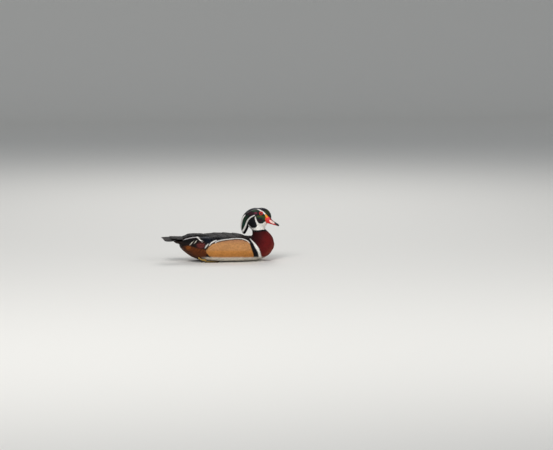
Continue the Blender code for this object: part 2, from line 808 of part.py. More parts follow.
def plumes(side, torso, wing_piece):
    # Long drooping feathers behind the flank that spread from one root
    def face(share, angle):
        return torso_point(share, side * angle)

    vanes = []
    for k, share in enumerate(spread(0, 1, PLUME_VANES)):
        places = between(PLUME_ROOT, mix(PLUME_TIPS[0], PLUME_TIPS[1], share), PLACES[4])
        depths = []
        for height, place in zip(PLUME_HEIGHTS, PLACES[4]):
            depths.append(-height - PLUME_STEP * k * place)
        tilt = -side * PLUME_TILT
        vanes.append(vane("plume", face, -side, places, depths, PLUME_HALF_WIDTH, POINTED[4], tilt))
    made = vanes.pop(0)
    made.name = side_name("side_plumes", side)
    joined(made, vanes)
    cut(made, grown(torso))
    cut(made, grown(wing_piece))
    return flattened(largest_part(made))


def rod(name, points, radius, sides=8):
    # A round rod through points, with flat ends
    rings = []
    for k, point in enumerate(points):
        before, after = points[max(k - 1, 0)], points[min(k + 1, len(points) - 1)]
        facing = (Vector(after) - Vector(before)).to_track_quat("Z", "Y")
        size = radius[k] if isinstance(radius, (list, tuple)) else radius
        rings.append(
            [
                Vector(point) + facing @ Vector((size * math.cos(a), size * math.sin(a), 0))
                for a in spread(0, 2 * math.pi, sides + 1)[:-1]
            ]
        )
    return loft(name, rings)


def foot(side):
    # Three webbed toes flat on the floor
    heel = Vector((FOOT_PLACE[0], side * FOOT_PLACE[1], TOE_RADIUS))
    tips = []
    toes = []
    for length, angle in zip(TOE_LENGTHS, TOE_ANGLES):
        turn = side * (FOOT_TURN * -1) + math.radians(angle)
        ahead = Vector((math.cos(turn), math.sin(turn), 0))
        tips.append(heel + ahead * length)
        places = [heel - ahead * 0.002, heel + ahead * length * 0.6, heel + ahead * length]
        toes.append(rod("toe", places, [TOE_RADIUS, TOE_RADIUS * 0.9, TOE_RADIUS * 0.5], 6))
    edge = [heel, tips[0], (tips[0] + tips[1]) / 2 - (tips[1] - heel) * 0.08, tips[1]]
    edge += [(tips[1] + tips[2]) / 2 - (tips[1] - heel) * 0.08, tips[2]]
    low = [Vector((p.x, p.y, 0.0008)) for p in edge]
    high = [Vector((p.x, p.y, 0.0008 + WEB_THICKNESS)) for p in edge]
    web = loft(side_name("foot", side), [low, high])
    joined(web, toes)
    cut_by_plane(web, (0, 0, 0.0004), (0, 0, -1))
    web.data.transform(Matrix.Translation((0, 0, -0.0004)))
    return flattened(largest_part(web))


def leg(side, torso, foot_piece):
    # The scaled shank, from under the belly back to the foot
    heel = Vector((FOOT_PLACE[0], side * FOOT_PLACE[1], 0))
    points = [
        heel + Vector((0.002, 0, 0.0075)),
        heel + Vector((-0.010, 0, 0.0090)),
        heel + Vector((-SHANK_LENGTH * 0.7, -side * 0.003, 0.0140)),
        heel + Vector((-SHANK_LENGTH * 0.6, -side * 0.008, 0.0300)),
    ]
    made = rod(side_name("leg", side), points, SHANK_RADIUS, 8)
    cut(made, grown(torso))
    cut(made, grown(foot_piece))
    return largest_part(made)


def finished(obj, colour):
    obj.data.materials.clear()
    obj.data.materials.append(material(colour))
    obj.data.shade_smooth()
    obj.data.set_sharp_from_angle(angle=math.radians(40))
    return obj


def centred(objects):
    # Moves all so that the origin is the middle of the box's underside
    points = [vertex.co for obj in objects for vertex in obj.data.vertices]
    along_x = [point.x for point in points]
    along_y = [point.y for point in points]
    middle = Vector((min(along_x) + max(along_x), min(along_y) + max(along_y), 0)) / 2
    for obj in objects:
        obj.data.transform(Matrix.Translation(-middle))


def main():
    clear_scene()
    duck = bpy.data.collections.new("wood_duck")
    bpy.context.scene.collection.children.link(duck)
    torso, neck, head = torso_neck_head()
    feet = {side: foot(side) for side in (-1, 1)}
    for side in (-1, 1):
        cut(torso, grown(feet[side], 2 * GAP))
        cut(torso, wing_bed(side))
    flattened(torso)
    tail_piece = tail(torso)
    colours = {torso: "buff", neck: "maroon", head: "green", tail_piece: "bronze"}
    for side in (-1, 1):
        wing_piece = wing(side, torso, [neck, tail_piece])
        colours[wing_piece] = "black"
        colours[plumes(side, torso, wing_piece)] = "maroon"
        colours[leg(side, torso, feet[side])] = "skin"
        colours[feet[side]] = "skin"
        colours[eye(side, head)] = "eye"
    upper, lower = bill(head)
    colours[upper] = colours[lower] = "red"
    for side in (-1, 1):
        colours[lid(side, head)] = "red"
    colours[crest(head, torso)] = "green"
    for piece, colour in colours.items():
        finished(piece, colour)
        bpy.context.scene.collection.objects.unlink(piece)
        duck.objects.link(piece)
    centred(list(colours))


main()
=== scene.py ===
import math
import random

import bmesh
import bpy
import numpy as np
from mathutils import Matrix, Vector
from mathutils.bvhtree import BVHTree


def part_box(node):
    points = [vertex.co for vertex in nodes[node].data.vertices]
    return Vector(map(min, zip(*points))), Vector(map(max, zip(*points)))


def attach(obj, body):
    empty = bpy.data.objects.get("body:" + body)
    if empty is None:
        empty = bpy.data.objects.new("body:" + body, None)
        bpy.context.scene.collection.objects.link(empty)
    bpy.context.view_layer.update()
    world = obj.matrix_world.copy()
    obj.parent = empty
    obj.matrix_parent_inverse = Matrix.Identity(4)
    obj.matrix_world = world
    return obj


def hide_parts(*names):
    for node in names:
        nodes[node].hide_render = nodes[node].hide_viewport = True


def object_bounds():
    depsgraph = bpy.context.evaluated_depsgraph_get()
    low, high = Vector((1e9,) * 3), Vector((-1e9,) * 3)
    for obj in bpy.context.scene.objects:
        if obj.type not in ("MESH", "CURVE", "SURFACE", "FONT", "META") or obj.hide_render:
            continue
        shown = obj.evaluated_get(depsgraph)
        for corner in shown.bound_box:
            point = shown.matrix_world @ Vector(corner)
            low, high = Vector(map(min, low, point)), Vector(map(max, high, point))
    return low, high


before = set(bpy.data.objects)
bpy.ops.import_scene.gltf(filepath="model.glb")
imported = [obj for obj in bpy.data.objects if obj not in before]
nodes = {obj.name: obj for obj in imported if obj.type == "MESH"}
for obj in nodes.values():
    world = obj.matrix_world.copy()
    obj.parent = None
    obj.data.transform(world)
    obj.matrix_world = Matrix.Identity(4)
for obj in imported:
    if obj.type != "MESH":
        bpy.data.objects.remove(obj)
solidBox = [list(corner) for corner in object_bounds()]
scene = bpy.context.scene
sides = {"left": 1, "right": -1}
draw = random.Random(11)


# the photograph's view, and where a point falls in it
photoView = {
    "width": 553,
    "height": 450,
    "azimuth": math.radians(-9),
    "elevation": math.radians(6.5),
    "pixel": .00315,            # metres at the duck to one pixel of the photograph
    "origin": (219.65, 260.7),  # where the frame's origin falls
    "cameraAway": 8.0,
    "sensor": 36.0,
}
turnSin, turnCos = math.sin(photoView["azimuth"]), math.cos(photoView["azimuth"])
riseSin, riseCos = math.sin(photoView["elevation"]), math.cos(photoView["elevation"])
screenRight = Vector((turnCos, turnSin, 0))
screenUp = Vector((-turnSin * riseSin, turnCos * riseSin, riseCos))
toCamera = Vector((turnSin * riseCos, -turnCos * riseCos, riseSin))


def pixelsOf(points):
    across = points @ np.array(screenRight) / photoView["pixel"]
    upwards = points @ np.array(screenUp) / photoView["pixel"]
    return np.stack((photoView["origin"][0] + across, photoView["origin"][1] - upwards), -1)


def underPixel(surface, pixel):
    flat = screenRight * (pixel[0] - photoView["origin"][0]) * photoView["pixel"]
    flat = flat + screenUp * (photoView["origin"][1] - pixel[1]) * photoView["pixel"]
    place, normal, _, _ = surface.ray_cast(flat + toCamera, -toCamera)
    return (place, normal) if place else surface.find_nearest(flat - toCamera * .02)[:2]


# the head's own frame: forward along the bill, left, and up, from the floor under the neck
headPlan = {
    "eyeForward": .0195,
    "lidRadius": .0062,
    "collarHeight": .100,
    "feathersFrom": .098,       # the head's feathers lie above this height, the neck's below
    "rootFromBill": .0007,
    "tipFromBill": .0012,
    "turnStarts": .060,         # heights between which the neck takes up the head's turn
    "turnEnds": .098,
}
eyeCentres = {side: sum(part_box("eye_" + side), Vector()) / 2 for side in sides}
headLeft = eyeCentres["left"] - eyeCentres["right"]
headLeft = Vector((headLeft.x, headLeft.y, 0)).normalized()
headForward = Vector((headLeft.y, -headLeft.x, 0))
headAt = (eyeCentres["left"] + eyeCentres["right"]) / 2 - headForward * headPlan["eyeForward"]
headAt.z = 0
headTurn = math.atan2(headForward.y, headForward.x)
bodyPlan = {
    "length": .36,
    "tailEnd": solidBox[0][0],
    "axisHeight": .045,         # angles round the body are taken about this line
}


def onHead(forward, left, up):
    return headAt + headForward * forward + headLeft * left + Vector((0, 0, up))


def smoothStep(value, start, end):
    share = np.clip((value - start) / (end - start), 0, 1)
    return share * share * (3 - 2 * share)


def towardsRight(points, turn=None):
    # the same place on the bird's right side, which the photograph shows
    if turn is None:
        turn = headTurn * smoothStep(points[:, 2], headPlan["turnStarts"], headPlan["turnEnds"])
    x, y = points[:, 0] - headAt.x, points[:, 1] - headAt.y * (turn != 0)
    forward = x * np.cos(turn) + y * np.sin(turn)
    left = -np.abs(y * np.cos(turn) - x * np.sin(turn))
    backX = forward * np.cos(turn) - left * np.sin(turn) + headAt.x
    backY = forward * np.sin(turn) + left * np.cos(turn) + headAt.y * (turn != 0)
    return np.stack((backX, backY, points[:, 2]), -1)


def linear(code):
    parts = [int(code[i:i + 2], 16) / 255 for i in (1, 3, 5)]
    return [part / 12.92 if part <= .04045 else ((part + .055) / 1.055) ** 2.4 for part in parts]


def ripple(points, size, seed=0):
    # a soft random field without a grid, about -1 to 1
    total = np.zeros(len(points))
    for turn in range(3):
        wave = np.array((math.sin(seed + turn * 2.1), math.cos(seed * 1.7 + turn),
                         math.sin(turn * 3.3 + seed)))
        total = total + np.sin(points @ wave * (2 * math.pi / size) * (1 + .37 * turn) + seed * 5 + turn)
    return total / 3


# markings, in the photograph's pixels on the bird's right side: a line is (x, y, half width)
headMarks = {
    "brow": [(266.3, 215.4, .6), (264.6, 213.6, .7), (263, 212.1, .7), (261.4, 211, .65),
             (259.4, 209.9, .5), (257.6, 209.3, .25)],
    "browFaint": [(258, 209.4, .3), (252, 210.3, .1), (248, 212.3, .1), (246, 214, .1)],
    "crestBack": [(245.3, 214.8, .3), (243.4, 216.9, .6), (242.1, 219.4, .75), (241.2, 222.4, .8),
                  (240.8, 226.5, .75), (240.7, 229.5, .5)],
    "crestLower": [(254.6, 215.3, .3), (252, 216.5, .5), (250, 217.8, .6), (248, 219.9, .65),
                   (246.8, 222.2, .65), (245.8, 225, .7), (244.6, 228.2, .8), (243, 230.6, .95),
                   (241.2, 232.8, 1.1), (240.3, 234, .9)],
    "cheekFinger": [(255.3, 217.1, .45), (255.6, 219, .6), (256.3, 221.2, .75), (257.6, 223.6, 1.1),
                    (259, 226, 1.4)],
    "collarFinger": [(248.6, 225.1, .45), (249.9, 226.9, .65), (251.6, 228.4, .8), (254.2, 229.2, .9),
                     (257.5, 229.2, 1.0), (261, 229, .8)],
    "throat": [(252.5, 228), (255.5, 227.8), (257, 226.3), (257.5, 224.5), (258.5, 223.3),
               (261, 223.7), (263, 223.3), (264.2, 222.1), (265.3, 221.7), (267.2, 222.5),
               (268, 224), (267, 226), (267, 228), (264, 229.6), (261, 229.9), (256, 230.2)],
    # spots are colour, x, y, half width, half height and share
    # the violet spot behind the eye is painted iridescent sheen, and the small rose spot inside it is a
    # painted highlight
    "crownSpots": [("crown", 260, 208.5, 12, 3, 1), ("foreheadGreen", 267.4, 212, 3.6, 3.2, .9),
                   ("green", 269.6, 215.3, 1.8, 2.8, .7), ("green", 255, 211, 4.2, 1.5, .8),
                   ("violetSheen", 252, 213.7, 5.4, 2.2, 1), ("rose", 255.8, 213.1, 1.7, 1.3, .8)],
    "nape": [(248.5, 215.2, .2), (245, 219, .7), (243.7, 223, .8), (242.6, 229, .5)],
    "napeSpots": [("teal", 243.6, 224.3, 1.3, 2.2, .8)],
    "cheek": [(257, 215.6), (265.5, 215.4), (266, 219), (265, 222), (262, 223.2), (258.5, 222.6), (257, 219)],
    # the cheek's olive, teal and violet spots are painted iridescent sheen over its dark colour
    "cheekSpots": [("oliveSheen", 260.6, 216.6, 5, 1.4, 1), ("oliveSheen", 264, 217.9, 1.8, 2.2, .9),
                   ("teal", 260, 217.7, 1.4, .9, 1), ("teal", 262.8, 218.7, 1.2, 1.0, .9),
                   ("violetSheen", 260.3, 220.4, 3.2, 1.8, .9)],
    "white": {"browFaint": .3, "brow": 1, "crestLower": 1, "crestBack": .95, "cheekFinger": 1,
              "collarFinger": 1},
    "collarShade": [(246, 231.4, .5), (252, 231.3, .9), (258, 231.4, .9), (264, 230.4, .4)],
    "neckTop": 231.3,
}
bodyMarks = {
    "whiteBar": [(250.3, 238.8, .3), (252, 240.7, .5), (253.6, 242.5, .65), (255, 244.4, 1.0),
                 (256.6, 246.9, 1.3), (258, 249.4, 1.35), (259.1, 252, 1.1), (260.2, 256.5, 1.3)],
    "blackBar": [(246, 238.2, .9), (249, 239.8, 1.1), (251.5, 242.4, 1.5), (253, 245.2, 2.0),
                 (254.6, 248.4, 2.3), (256.2, 252, 2.2), (257.6, 256, 2)],
    "flank": [(206.4, 249), (207.8, 246.2), (210.3, 243.8), (213.5, 242.2), (217.5, 241.2),
              (223, 240.1), (231, 239.4), (238, 239.1), (244, 239.8), (248, 241), (249.9, 243.2),
              (250.9, 246.2), (252, 249.5), (253, 252.5), (254, 257), (250, 259), (216, 259),
              (210, 256), (207, 252)],
    "crescents": [
        [(205.9, 247.9, .3), (207.4, 245.5, .45), (209.1, 243.7, .3)],
        [(209.8, 245.4, .35), (211.5, 243.1, .55), (213.6, 241.6, .6), (216.8, 240.3, .5)],
        [(215.8, 242.8, .3), (218, 241.1, .45), (221.5, 240.1, .4), (226, 239.4, .35), (231, 238.8, .35),
         (237, 238.3, .35), (242, 238.6, .35), (245.6, 239.7, .4), (248.3, 241.1, .35), (249.8, 243, .2)],
    ],
    "crescentShade": [(206.5, 249.5, .9), (208.8, 245.8, 1.3), (212.3, 242.9, 1.4), (217.5, 241.5, 1.1),
                      (222, 240.9, .5), (228, 240.1, .35), (237, 239.3, .3), (243, 239.7, .3), (247, 241.6,
                              .25)],
    "plumeStripes": [
        [(194.8, 240, .2), (192.8, 242.3, .32), (190.6, 244.8, .2)],
        [(197.4, 240.2, .15), (196.2, 242, .25), (194.8, 243.6, .12)],
    ],
    "rust": [(181, 248), (184.5, 246), (190, 245.4), (196, 247.6), (201, 248.8), (206.5, 249.2),
             (208, 253), (205, 258), (190, 258), (183, 254)],
    # where the back's colours begin: x at each height y
    "backEdge": ((232, 238, 240, 245, 252, 257), (250.5, 249, 251, 254, 257.5, 260)),
    "bellyTop": 256.2,
}
colours = {name: np.array(linear(code)) for name, code in {
    "black": "#0c0b10", "white": "#f6f2ea", "crown": "#16121c", "foreheadGreen": "#29351a",
    "green": "#153a21", "teal": "#114338", "violetSheen": "#2e0f1b", "rose": "#701f36",
    "oliveSheen": "#3d4c18", "cheek": "#16221d", "throatWarm": "#f4ead6",
    "breastDark": "#3c090c", "breast": "#6a1414", "breastLit": "#8a3520", "neckBack": "#1a0b0d",
    "flank": "#c9905a", "flankLow": "#d08a40", "flankTop": "#b57f58", "belly": "#e6dfd2",
    "back": "#0f0b0a", "backWarm": "#1e1210", "rust": "#6b3514", "rustDark": "#1d110b",
    "orange": "#96521a", "maroon": "#74302b", "underTail": "#241812", "flankLine": "#241710",
}.items()}


def farFromLine(pixels, line):
    # how far outside the line's own width each pixel lies
    best = np.full(len(pixels), 1e9)
    for (x0, y0, w0), (x1, y1, w1) in zip(line, line[1:]):
        along = np.array((x1 - x0, y1 - y0))
        share = np.clip(((pixels - (x0, y0)) @ along) / (along @ along), 0, 1)
        away = np.hypot(*(pixels - (x0, y0) - share[:, None] * along).T)
        best = np.minimum(best, away - (w0 + (w1 - w0) * share))
    return best


def onLine(pixels, line, soft=.22):
    return 1 - smoothStep(farFromLine(pixels, line), -soft, soft)


def inPatch(pixels, outline, soft=.25):
    inside = np.zeros(len(pixels), bool)
    edge = np.full(len(pixels), 1e9)
    for (x0, y0), (x1, y1) in zip(outline, outline[1:] + outline[:1]):
        crosses = (y0 > pixels[:, 1]) != (y1 > pixels[:, 1])
        slope = (x1 - x0) / (y1 - y0 if y1 != y0 else 1e-9)
        inside ^= crosses & (pixels[:, 0] < x0 + slope * (pixels[:, 1] - y0))
        edge = np.minimum(edge, farFromLine(pixels, [(x0, y0, 0), (x1, y1, 0)]))
    return smoothStep(np.where(inside, edge, -edge), -soft, soft)


def inSpot(pixels, x, y, wide, high):
    return 1 - smoothStep(np.hypot((pixels[:, 0] - x) / wide, (pixels[:, 1] - y) / high), .45, 1.15)


def repeated(hue, count):
    return np.repeat(np.array(hue)[None], count, 0)


def laid(base, hue, share):
    return base + (hue - base) * np.reshape(share, (-1, 1))


def mixed(base, name, share):
    return laid(base, colours[name], share)


def spotted(base, pixels, spots):
    for name, *spot, share in spots:
        base = mixed(base, name, inSpot(pixels, *spot) * share)
    return base


def paint(points, part="body"):
    # colour and detail of the plumage at these points: skin and feathers both ask here
    turn = np.full(len(points), headTurn) if part == "head" else None
    right = towardsRight(points, turn)
    pixels = pixelsOf(right)
    pixels = pixels + np.stack((ripple(points, .0035, 1), ripple(points, .0035, 4)), -1) * .14
    x, y = pixels.T
    count = len(points)
    isHead = 1 - smoothStep(y, headMarks["neckTop"] - .25, headMarks["neckTop"] + .25)
    isHead = np.ones(count) if part == "head" else isHead * smoothStep(x, 244, 246)

    # breast and neck
    coat = repeated(colours["breastDark"], count)
    coat = mixed(coat, "breast", smoothStep(x + .35 * (y - 240), 256, 269))
    # painted light: the breast's lower front, where sunlight falls, gets a lighter copy of its colour
    coat = mixed(coat, "breastLit", smoothStep(x + .9 * (y - 246), 268, 278) * .7)
    coat = mixed(coat, "neckBack", (1 - smoothStep(x + .2 * (240 - y), 251, 257)) * .85)
    verm, gloss = np.zeros(count), np.full(count, .15)

    # back, rear and flanks
    behind = 1 - smoothStep(x - np.interp(y, *bodyMarks["backEdge"]), -.3, .3)
    dark = mixed(repeated(colours["back"], count), "backWarm", .5 + .5 * ripple(points, .03, 2))
    coat = laid(coat, dark, behind)
    gloss = gloss + behind * .35
    low = behind * smoothStep(y, 246, 249) * smoothStep(x, 180, 184)
    rust = behind * inPatch(pixels, bodyMarks["rust"], .8)
    coat = mixed(coat, "rustDark", low * .8)
    coat = mixed(coat, "rust", rust * np.clip(.62 + .7 * ripple(points, .008, 3), 0, 1))
    mottle = np.clip(.7 + .6 * ripple(points, .006, 8), 0, 1)
    coat = mixed(coat, "orange", behind * inSpot(pixels, 189, 247.8, 3.4, 2.6) * mottle * .9)
    coat = mixed(coat, "maroon", behind * inSpot(pixels, 201.4, 245.2, 4.8, 3.8) * mottle)
    coat = mixed(coat, "underTail", behind * (1 - smoothStep(x, 180, 186)) * smoothStep(y, 238, 241))
    for stripe in bodyMarks["plumeStripes"]:
        coat = mixed(coat, "throatWarm", behind * onLine(pixels, stripe) * .85)
    flank = behind * inPatch(pixels, bodyMarks["flank"])
    buff = mixed(repeated(colours["flankTop"], count), "flank", smoothStep(y, 240, 244.5))
    buff = mixed(buff, "flankLow", smoothStep(y, 249, 252) * .8)
    coat = laid(coat, buff, flank)
    verm, gloss = verm + flank, gloss * (1 - flank * .7)
    coat = mixed(coat, "black", onLine(pixels, bodyMarks["blackBar"]) * (1 - isHead))
    coat = mixed(coat, "flankLine", behind * onLine(pixels, bodyMarks["crescentShade"]) * .95)
    for line in bodyMarks["crescents"]:
        coat = mixed(coat, "white", behind * onLine(pixels, line) * .92)
    coat = mixed(coat, "white", onLine(pixels, bodyMarks["whiteBar"]) * (1 - isHead))
    belly = smoothStep(y + .25 * ripple(points, .02, 6), bodyMarks["bellyTop"], bodyMarks["bellyTop"] + 1.8)
    belly = belly * smoothStep(x, 200, 208) * (1 - smoothStep(x, 262, 270))
    coat = mixed(coat, "belly", belly)
    verm = verm * (1 - belly)

    # head
    crown = repeated(colours["black"], count)
    # the crown's spots include painted sheen behind the eye and a painted highlight inside it
    crown = spotted(crown, pixels, headMarks["crownSpots"])
    crown = mixed(crown, "green", onLine(pixels, headMarks["nape"], .9))
    crown = spotted(crown, pixels, headMarks["napeSpots"])
    crown = mixed(crown, "cheek", inPatch(pixels, headMarks["cheek"], .5))
    # painted iridescent sheen on the cheek
    crown = spotted(crown, pixels, headMarks["cheekSpots"])
    shine = np.full(count, .8)
    for name, share in headMarks["white"].items():
        line = onLine(pixels, headMarks[name], .2) * share
        crown, shine = mixed(crown, "white", line), shine * (1 - line)
    throat = inPatch(pixels, headMarks["throat"])
    crown, shine = mixed(crown, "white", throat), shine * (1 - throat)
    coat = laid(coat, crown, isHead)
    under = (1 - isHead) * onLine(pixels, headMarks["collarShade"], .4)
    coat = mixed(coat, "black", under * .9)
    gloss = gloss * (1 - isHead) + shine * isHead
    verm = verm * (1 - isHead)
    return coat, verm, gloss


def nearestOn(surface, point):
    place, normal, _, _ = surface.find_nearest(point)
    return place, normal


print("forms under the feathers")
formPlan = {"voxel": .0015, "rounds": 10, "wingRounds": 40, "hullVoxel": .002, "hullRounds": 6,
            "skinInset": .0011, "skinFloor": .0003,
            # the torso's beds under the wings: from x to x, and above this height
            "beds": (-.145, .07, .045)}


def placed(name, data):
    piece = bpy.data.objects.new(name, data)
    scene.collection.objects.link(piece)
    return piece


def objectFrom(bm, name):
    mesh = bpy.data.meshes.new(name)
    bm.to_mesh(mesh)
    bm.free()
    mesh.shade_smooth()
    return placed(name, mesh)


def relax(bm, verts, times):
    for _ in range(times if len(verts) else 0):
        bmesh.ops.smooth_vert(bm, verts=verts, factor=.5, use_axis_x=True, use_axis_y=True, use_axis_z=True)


def extruded(bm, edges):
    made = bmesh.ops.extrude_edge_only(bm, edges=edges)["geom"]
    return [item for item in made if isinstance(item, bmesh.types.BMVert)]


def mergedCopy(names, label):
    bm = bmesh.new()
    for name in names:
        bm.from_mesh(nodes[name].data)
    bmesh.ops.remove_doubles(bm, verts=bm.verts, dist=1e-6)
    return objectFrom(bm, label)


def underWings(place):
    start, end, height = formPlan["beds"]
    return start < place.x < end and place.z > height + abs(place.y) * .25


def softened(names, label, voxel, rounds, extra=None):
    # one closed, smooth form from copies of these solids, with more rounds where extra says so
    copy = mergedCopy(names, label)
    remesh = copy.modifiers.new("remesh", "REMESH")
    remesh.mode, remesh.voxel_size = "VOXEL", voxel
    evaluated = copy.evaluated_get(bpy.context.evaluated_depsgraph_get())
    mesh = bpy.data.meshes.new_from_object(evaluated)
    copy.modifiers.clear()
    bm = bmesh.new()
    bm.from_mesh(mesh)
    biggest, left = [], set(bm.verts)
    while left:
        group, edge = set(), [left.pop()]
        while edge:
            vert = edge.pop()
            group.add(vert)
            for link in vert.link_edges:
                other = link.other_vert(vert)
                if other in left:
                    left.discard(other)
                    edge.append(other)
        biggest = max(biggest, list(group), key=len)
    keep = set(biggest)
    bmesh.ops.delete(bm, geom=[vert for vert in bm.verts if vert not in keep], context="VERTS")
    more = [vert for vert in bm.verts if extra and extra(vert.co)]
    relax(bm, bm.verts, rounds)
    relax(bm, more, formPlan["wingRounds"])
    bm.normal_update()
    bm.to_mesh(copy.data)
    bm.free()
    copy.data.shade_smooth()
    return copy


def treeOf(piece):
    bm = bmesh.new()
    bm.from_mesh(piece.data)
    tree = BVHTree.FromBMesh(bm)
    bm.free()
    return tree


def arrayOf(piece, field="co"):
    flat = np.empty(len(piece.data.vertices) * 3, np.float32)
    piece.data.vertices.foreach_get(field, flat)
    return flat.reshape(-1, 3).astype(float)


def setColours(mesh, coat, verm=None, gloss=None, tone=None, along=None, across=None):
    # coat holds colour and the place along the vane, detail holds the rest
    count = len(coat)
    fill = lambda values: np.zeros(count) if values is None else values
    rgba = np.concatenate((np.clip(coat, 0, 1), fill(along)[:, None]), 1)
    detail = np.stack([fill(values) for values in (verm, gloss, tone, across)], 1)
    for name, values in (("coat", rgba), ("detail", detail)):
        layer = mesh.attributes.new(name, "FLOAT_COLOR", "POINT")
        layer.data.foreach_set("color", values.astype(np.float32).ravel())


skin = softened(["torso", "neck", "head"], "skin", formPlan["voxel"], formPlan["rounds"], underWings)
mould = treeOf(skin)
hullForm = softened(["torso", "tail", "wing_left", "wing_right"], "hullForm", formPlan["hullVoxel"],
                    formPlan["hullRounds"])
hull = treeOf(hullForm)
bodyForm = skin.copy()
bodyForm.data = skin.data.copy()
skinPoints, skinNormals = arrayOf(skin), arrayOf(skin, "normal")
setColours(skin.data, *paint(skinPoints))
lowered = skinPoints - skinNormals * formPlan["skinInset"]
lowered[:, 2] = np.maximum(lowered[:, 2], formPlan["skinFloor"])
skin.data.vertices.foreach_set("co", lowered.astype(np.float32).ravel())
print("skin", len(skin.data.polygons), "faces")


# materials
def addNode(tree, kind, inputs=None, **settings):
    node = tree.nodes.new("ShaderNode" + kind)
    for name, value in settings.items():
        setattr(node, name, value)
    for socket, value in (inputs or {}).items():
        if isinstance(value, bpy.types.NodeSocket):
            tree.links.new(value, node.inputs[socket])
        else:
            node.inputs[socket].default_value = value
    return node


def newMaterial(name, **fixed):
    material = bpy.data.materials.new(name)
    material.use_nodes = True
    tree = material.node_tree
    shader = tree.nodes["Principled BSDF"]
    for socket, value in fixed.items():
        shader.inputs[socket.replace("_", " ")].default_value = value

    def node(kind, inputs=None, out=0, **settings):
        made = addNode(tree, kind, inputs, **settings).outputs
        return made if out is None else made[out]

    def join(socket, output):
        tree.links.new(output, shader.inputs[socket])

    return material, node, join


def featherMaterial(name, plan):
    material, node, join = newMaterial(name, **plan["fixed"])
    coat = node("Attribute", attribute_name="coat")
    detail = node("Attribute", attribute_name="detail")
    verm, gloss, tone = node("SeparateColor", {0: detail}, None)
    vane = node("UVMap", uv_map="vane")
    x, y, _ = node("SeparateXYZ", {0: vane}, None)
    across = node("Math", {0: x}, operation="ABSOLUTE")
    # a barb runs outwards and towards the tip, so it is a line of constant y - 1.2 |x|
    slant = node("Math", {0: across, 1: -1.2, 2: y}, operation="MULTIPLY_ADD")
    pitch = 2 * math.pi / plan["barb"]
    turns = node("Math", {0: slant, 1: pitch}, operation="MULTIPLY")
    barbs = node("Math", {0: turns}, operation="SINE")
    spread = node("CombineXYZ", {0: slant, 1: tone, 2: tone})
    streaks = node("TexNoise", {"Vector": spread, "Scale": plan["streak"], "Detail": 2.0})
    # tone from feather to feather, streaks along the barbs
    shade = node("MapRange", {0: tone, 3: 1 - plan["toneSpread"], 4: 1 + plan["toneSpread"]})
    streakShade = node("MapRange", {0: streaks, 1: .3, 2: .7, 3: 1 - plan["streakDepth"],
                                    4: 1 + plan["streakDepth"]})
    both = node("Math", {0: shade, 1: streakShade}, operation="MULTIPLY")
    toned = node("VectorMath", {0: coat, 3: both}, operation="SCALE")
    # vermiculation: fine dark wavy lines across the flank feathers
    waver = node("TexNoise", {"Vector": vane, "Scale": .9, "Detail": 2.0})
    wave = node("Math", {0: waver, 1: 9.0, 2: y}, operation="MULTIPLY_ADD")
    waveTurns = node("Math", {0: wave, 1: 2 * math.pi / plan["vermPitch"]}, operation="MULTIPLY")
    lines = node("Math", {0: waveTurns}, operation="SINE")
    thin = node("MapRange", {0: lines, 1: .35, 2: .85, 3: 0.0, 4: plan["vermDepth"]})
    amount = node("Math", {0: thin, 1: verm}, operation="MULTIPLY")
    lined = node("Mix", {0: amount, 6: toned, 7: (*linear("#2a1a10"), 1)}, 2, data_type="RGBA")
    join("Base Color", lined)
    rough = node("MapRange", {0: gloss, 3: plan["rough"], 4: plan["smooth"]})
    join("Roughness", rough)
    metal = node("Math", {0: gloss, 1: plan["shimmer"]}, operation="MULTIPLY")
    join("Metallic", metal)
    bump = node("Bump", {"Height": barbs, "Strength": plan["bump"], "Distance": .0001})
    join("Normal", bump)
    return material


# contour feathers of a waterfowl: dense, waxy keratin barbs that lie shut, a soft sheen and no hard gloss
contourFeather = featherMaterial("contour feather, preened", {
    "fixed": {"Specular_IOR_Level": .14, "Sheen_Weight": .01, "Sheen_Roughness": .5},
    "barb": .55, "streak": .9, "streakDepth": .14, "toneSpread": .10, "vermPitch": 1.5, "vermDepth": .34,
    "rough": .75, "smooth": .42, "shimmer": .35, "bump": .5})
# head and crest feathers: barbules that shine green and violet, silkier than the body's
silkFeather = featherMaterial("head feather, iridescent", {
    "fixed": {"Specular_IOR_Level": .28, "Sheen_Weight": .02, "Sheen_Roughness": .4},
    "barb": .45, "streak": .8, "streakDepth": .18, "toneSpread": .12, "vermPitch": 1.5, "vermDepth": 0.0,
    "rough": .7, "smooth": .34, "shimmer": .4, "bump": .4})
# flight and tail feathers: stiff vanes with a satin face and a plain shaft
flightFeather = featherMaterial("flight feather, satin", {
    "fixed": {"Specular_IOR_Level": .08, "Sheen_Weight": 0.0, "Sheen_Roughness": .4},
    "barb": .6, "streak": .7, "streakDepth": .16, "toneSpread": .10, "vermPitch": 1.5, "vermDepth": 0.0,
    "rough": .6, "smooth": .34, "shimmer": .35, "bump": .6})


# feathers: a plan is a spine on the surface, and spread gives it its vane
def roundTip(share):
    return .6 + share if share < .4 else math.sqrt(max(0, 1 - ((share - .4) / .6) ** 1.9)) * .96 + .04


def narrowTip(share):
    return min(1, .5 + 1.6 * share) * (1 - .88 * max(0, share - .45) / .55)


def longTip(share):
    return min(1, .6 + 1.2 * share) * (1 if share < .8 else math.sqrt(max(.02, 1 - ((share - .8) / .2) ** 2)))


def wideTip(share):
    end = 1 if share < .72 else math.sqrt(max(.003, 1 - ((share - .72) / .28) ** 2.2))
    return min(1, .45 + .8 * share) * end


def feather(places, half, low, high, hand=1, length=None):
    # places are the spine's points with their normals, from root to tip
    spine, normals = map(list, zip(*places))
    return {"spine": spine, "normals": normals, "half": half, "low": low, "high": high,
            "tone": draw.random(), "hand": hand, "length": length or (spine[0] - spine[-1]).length}


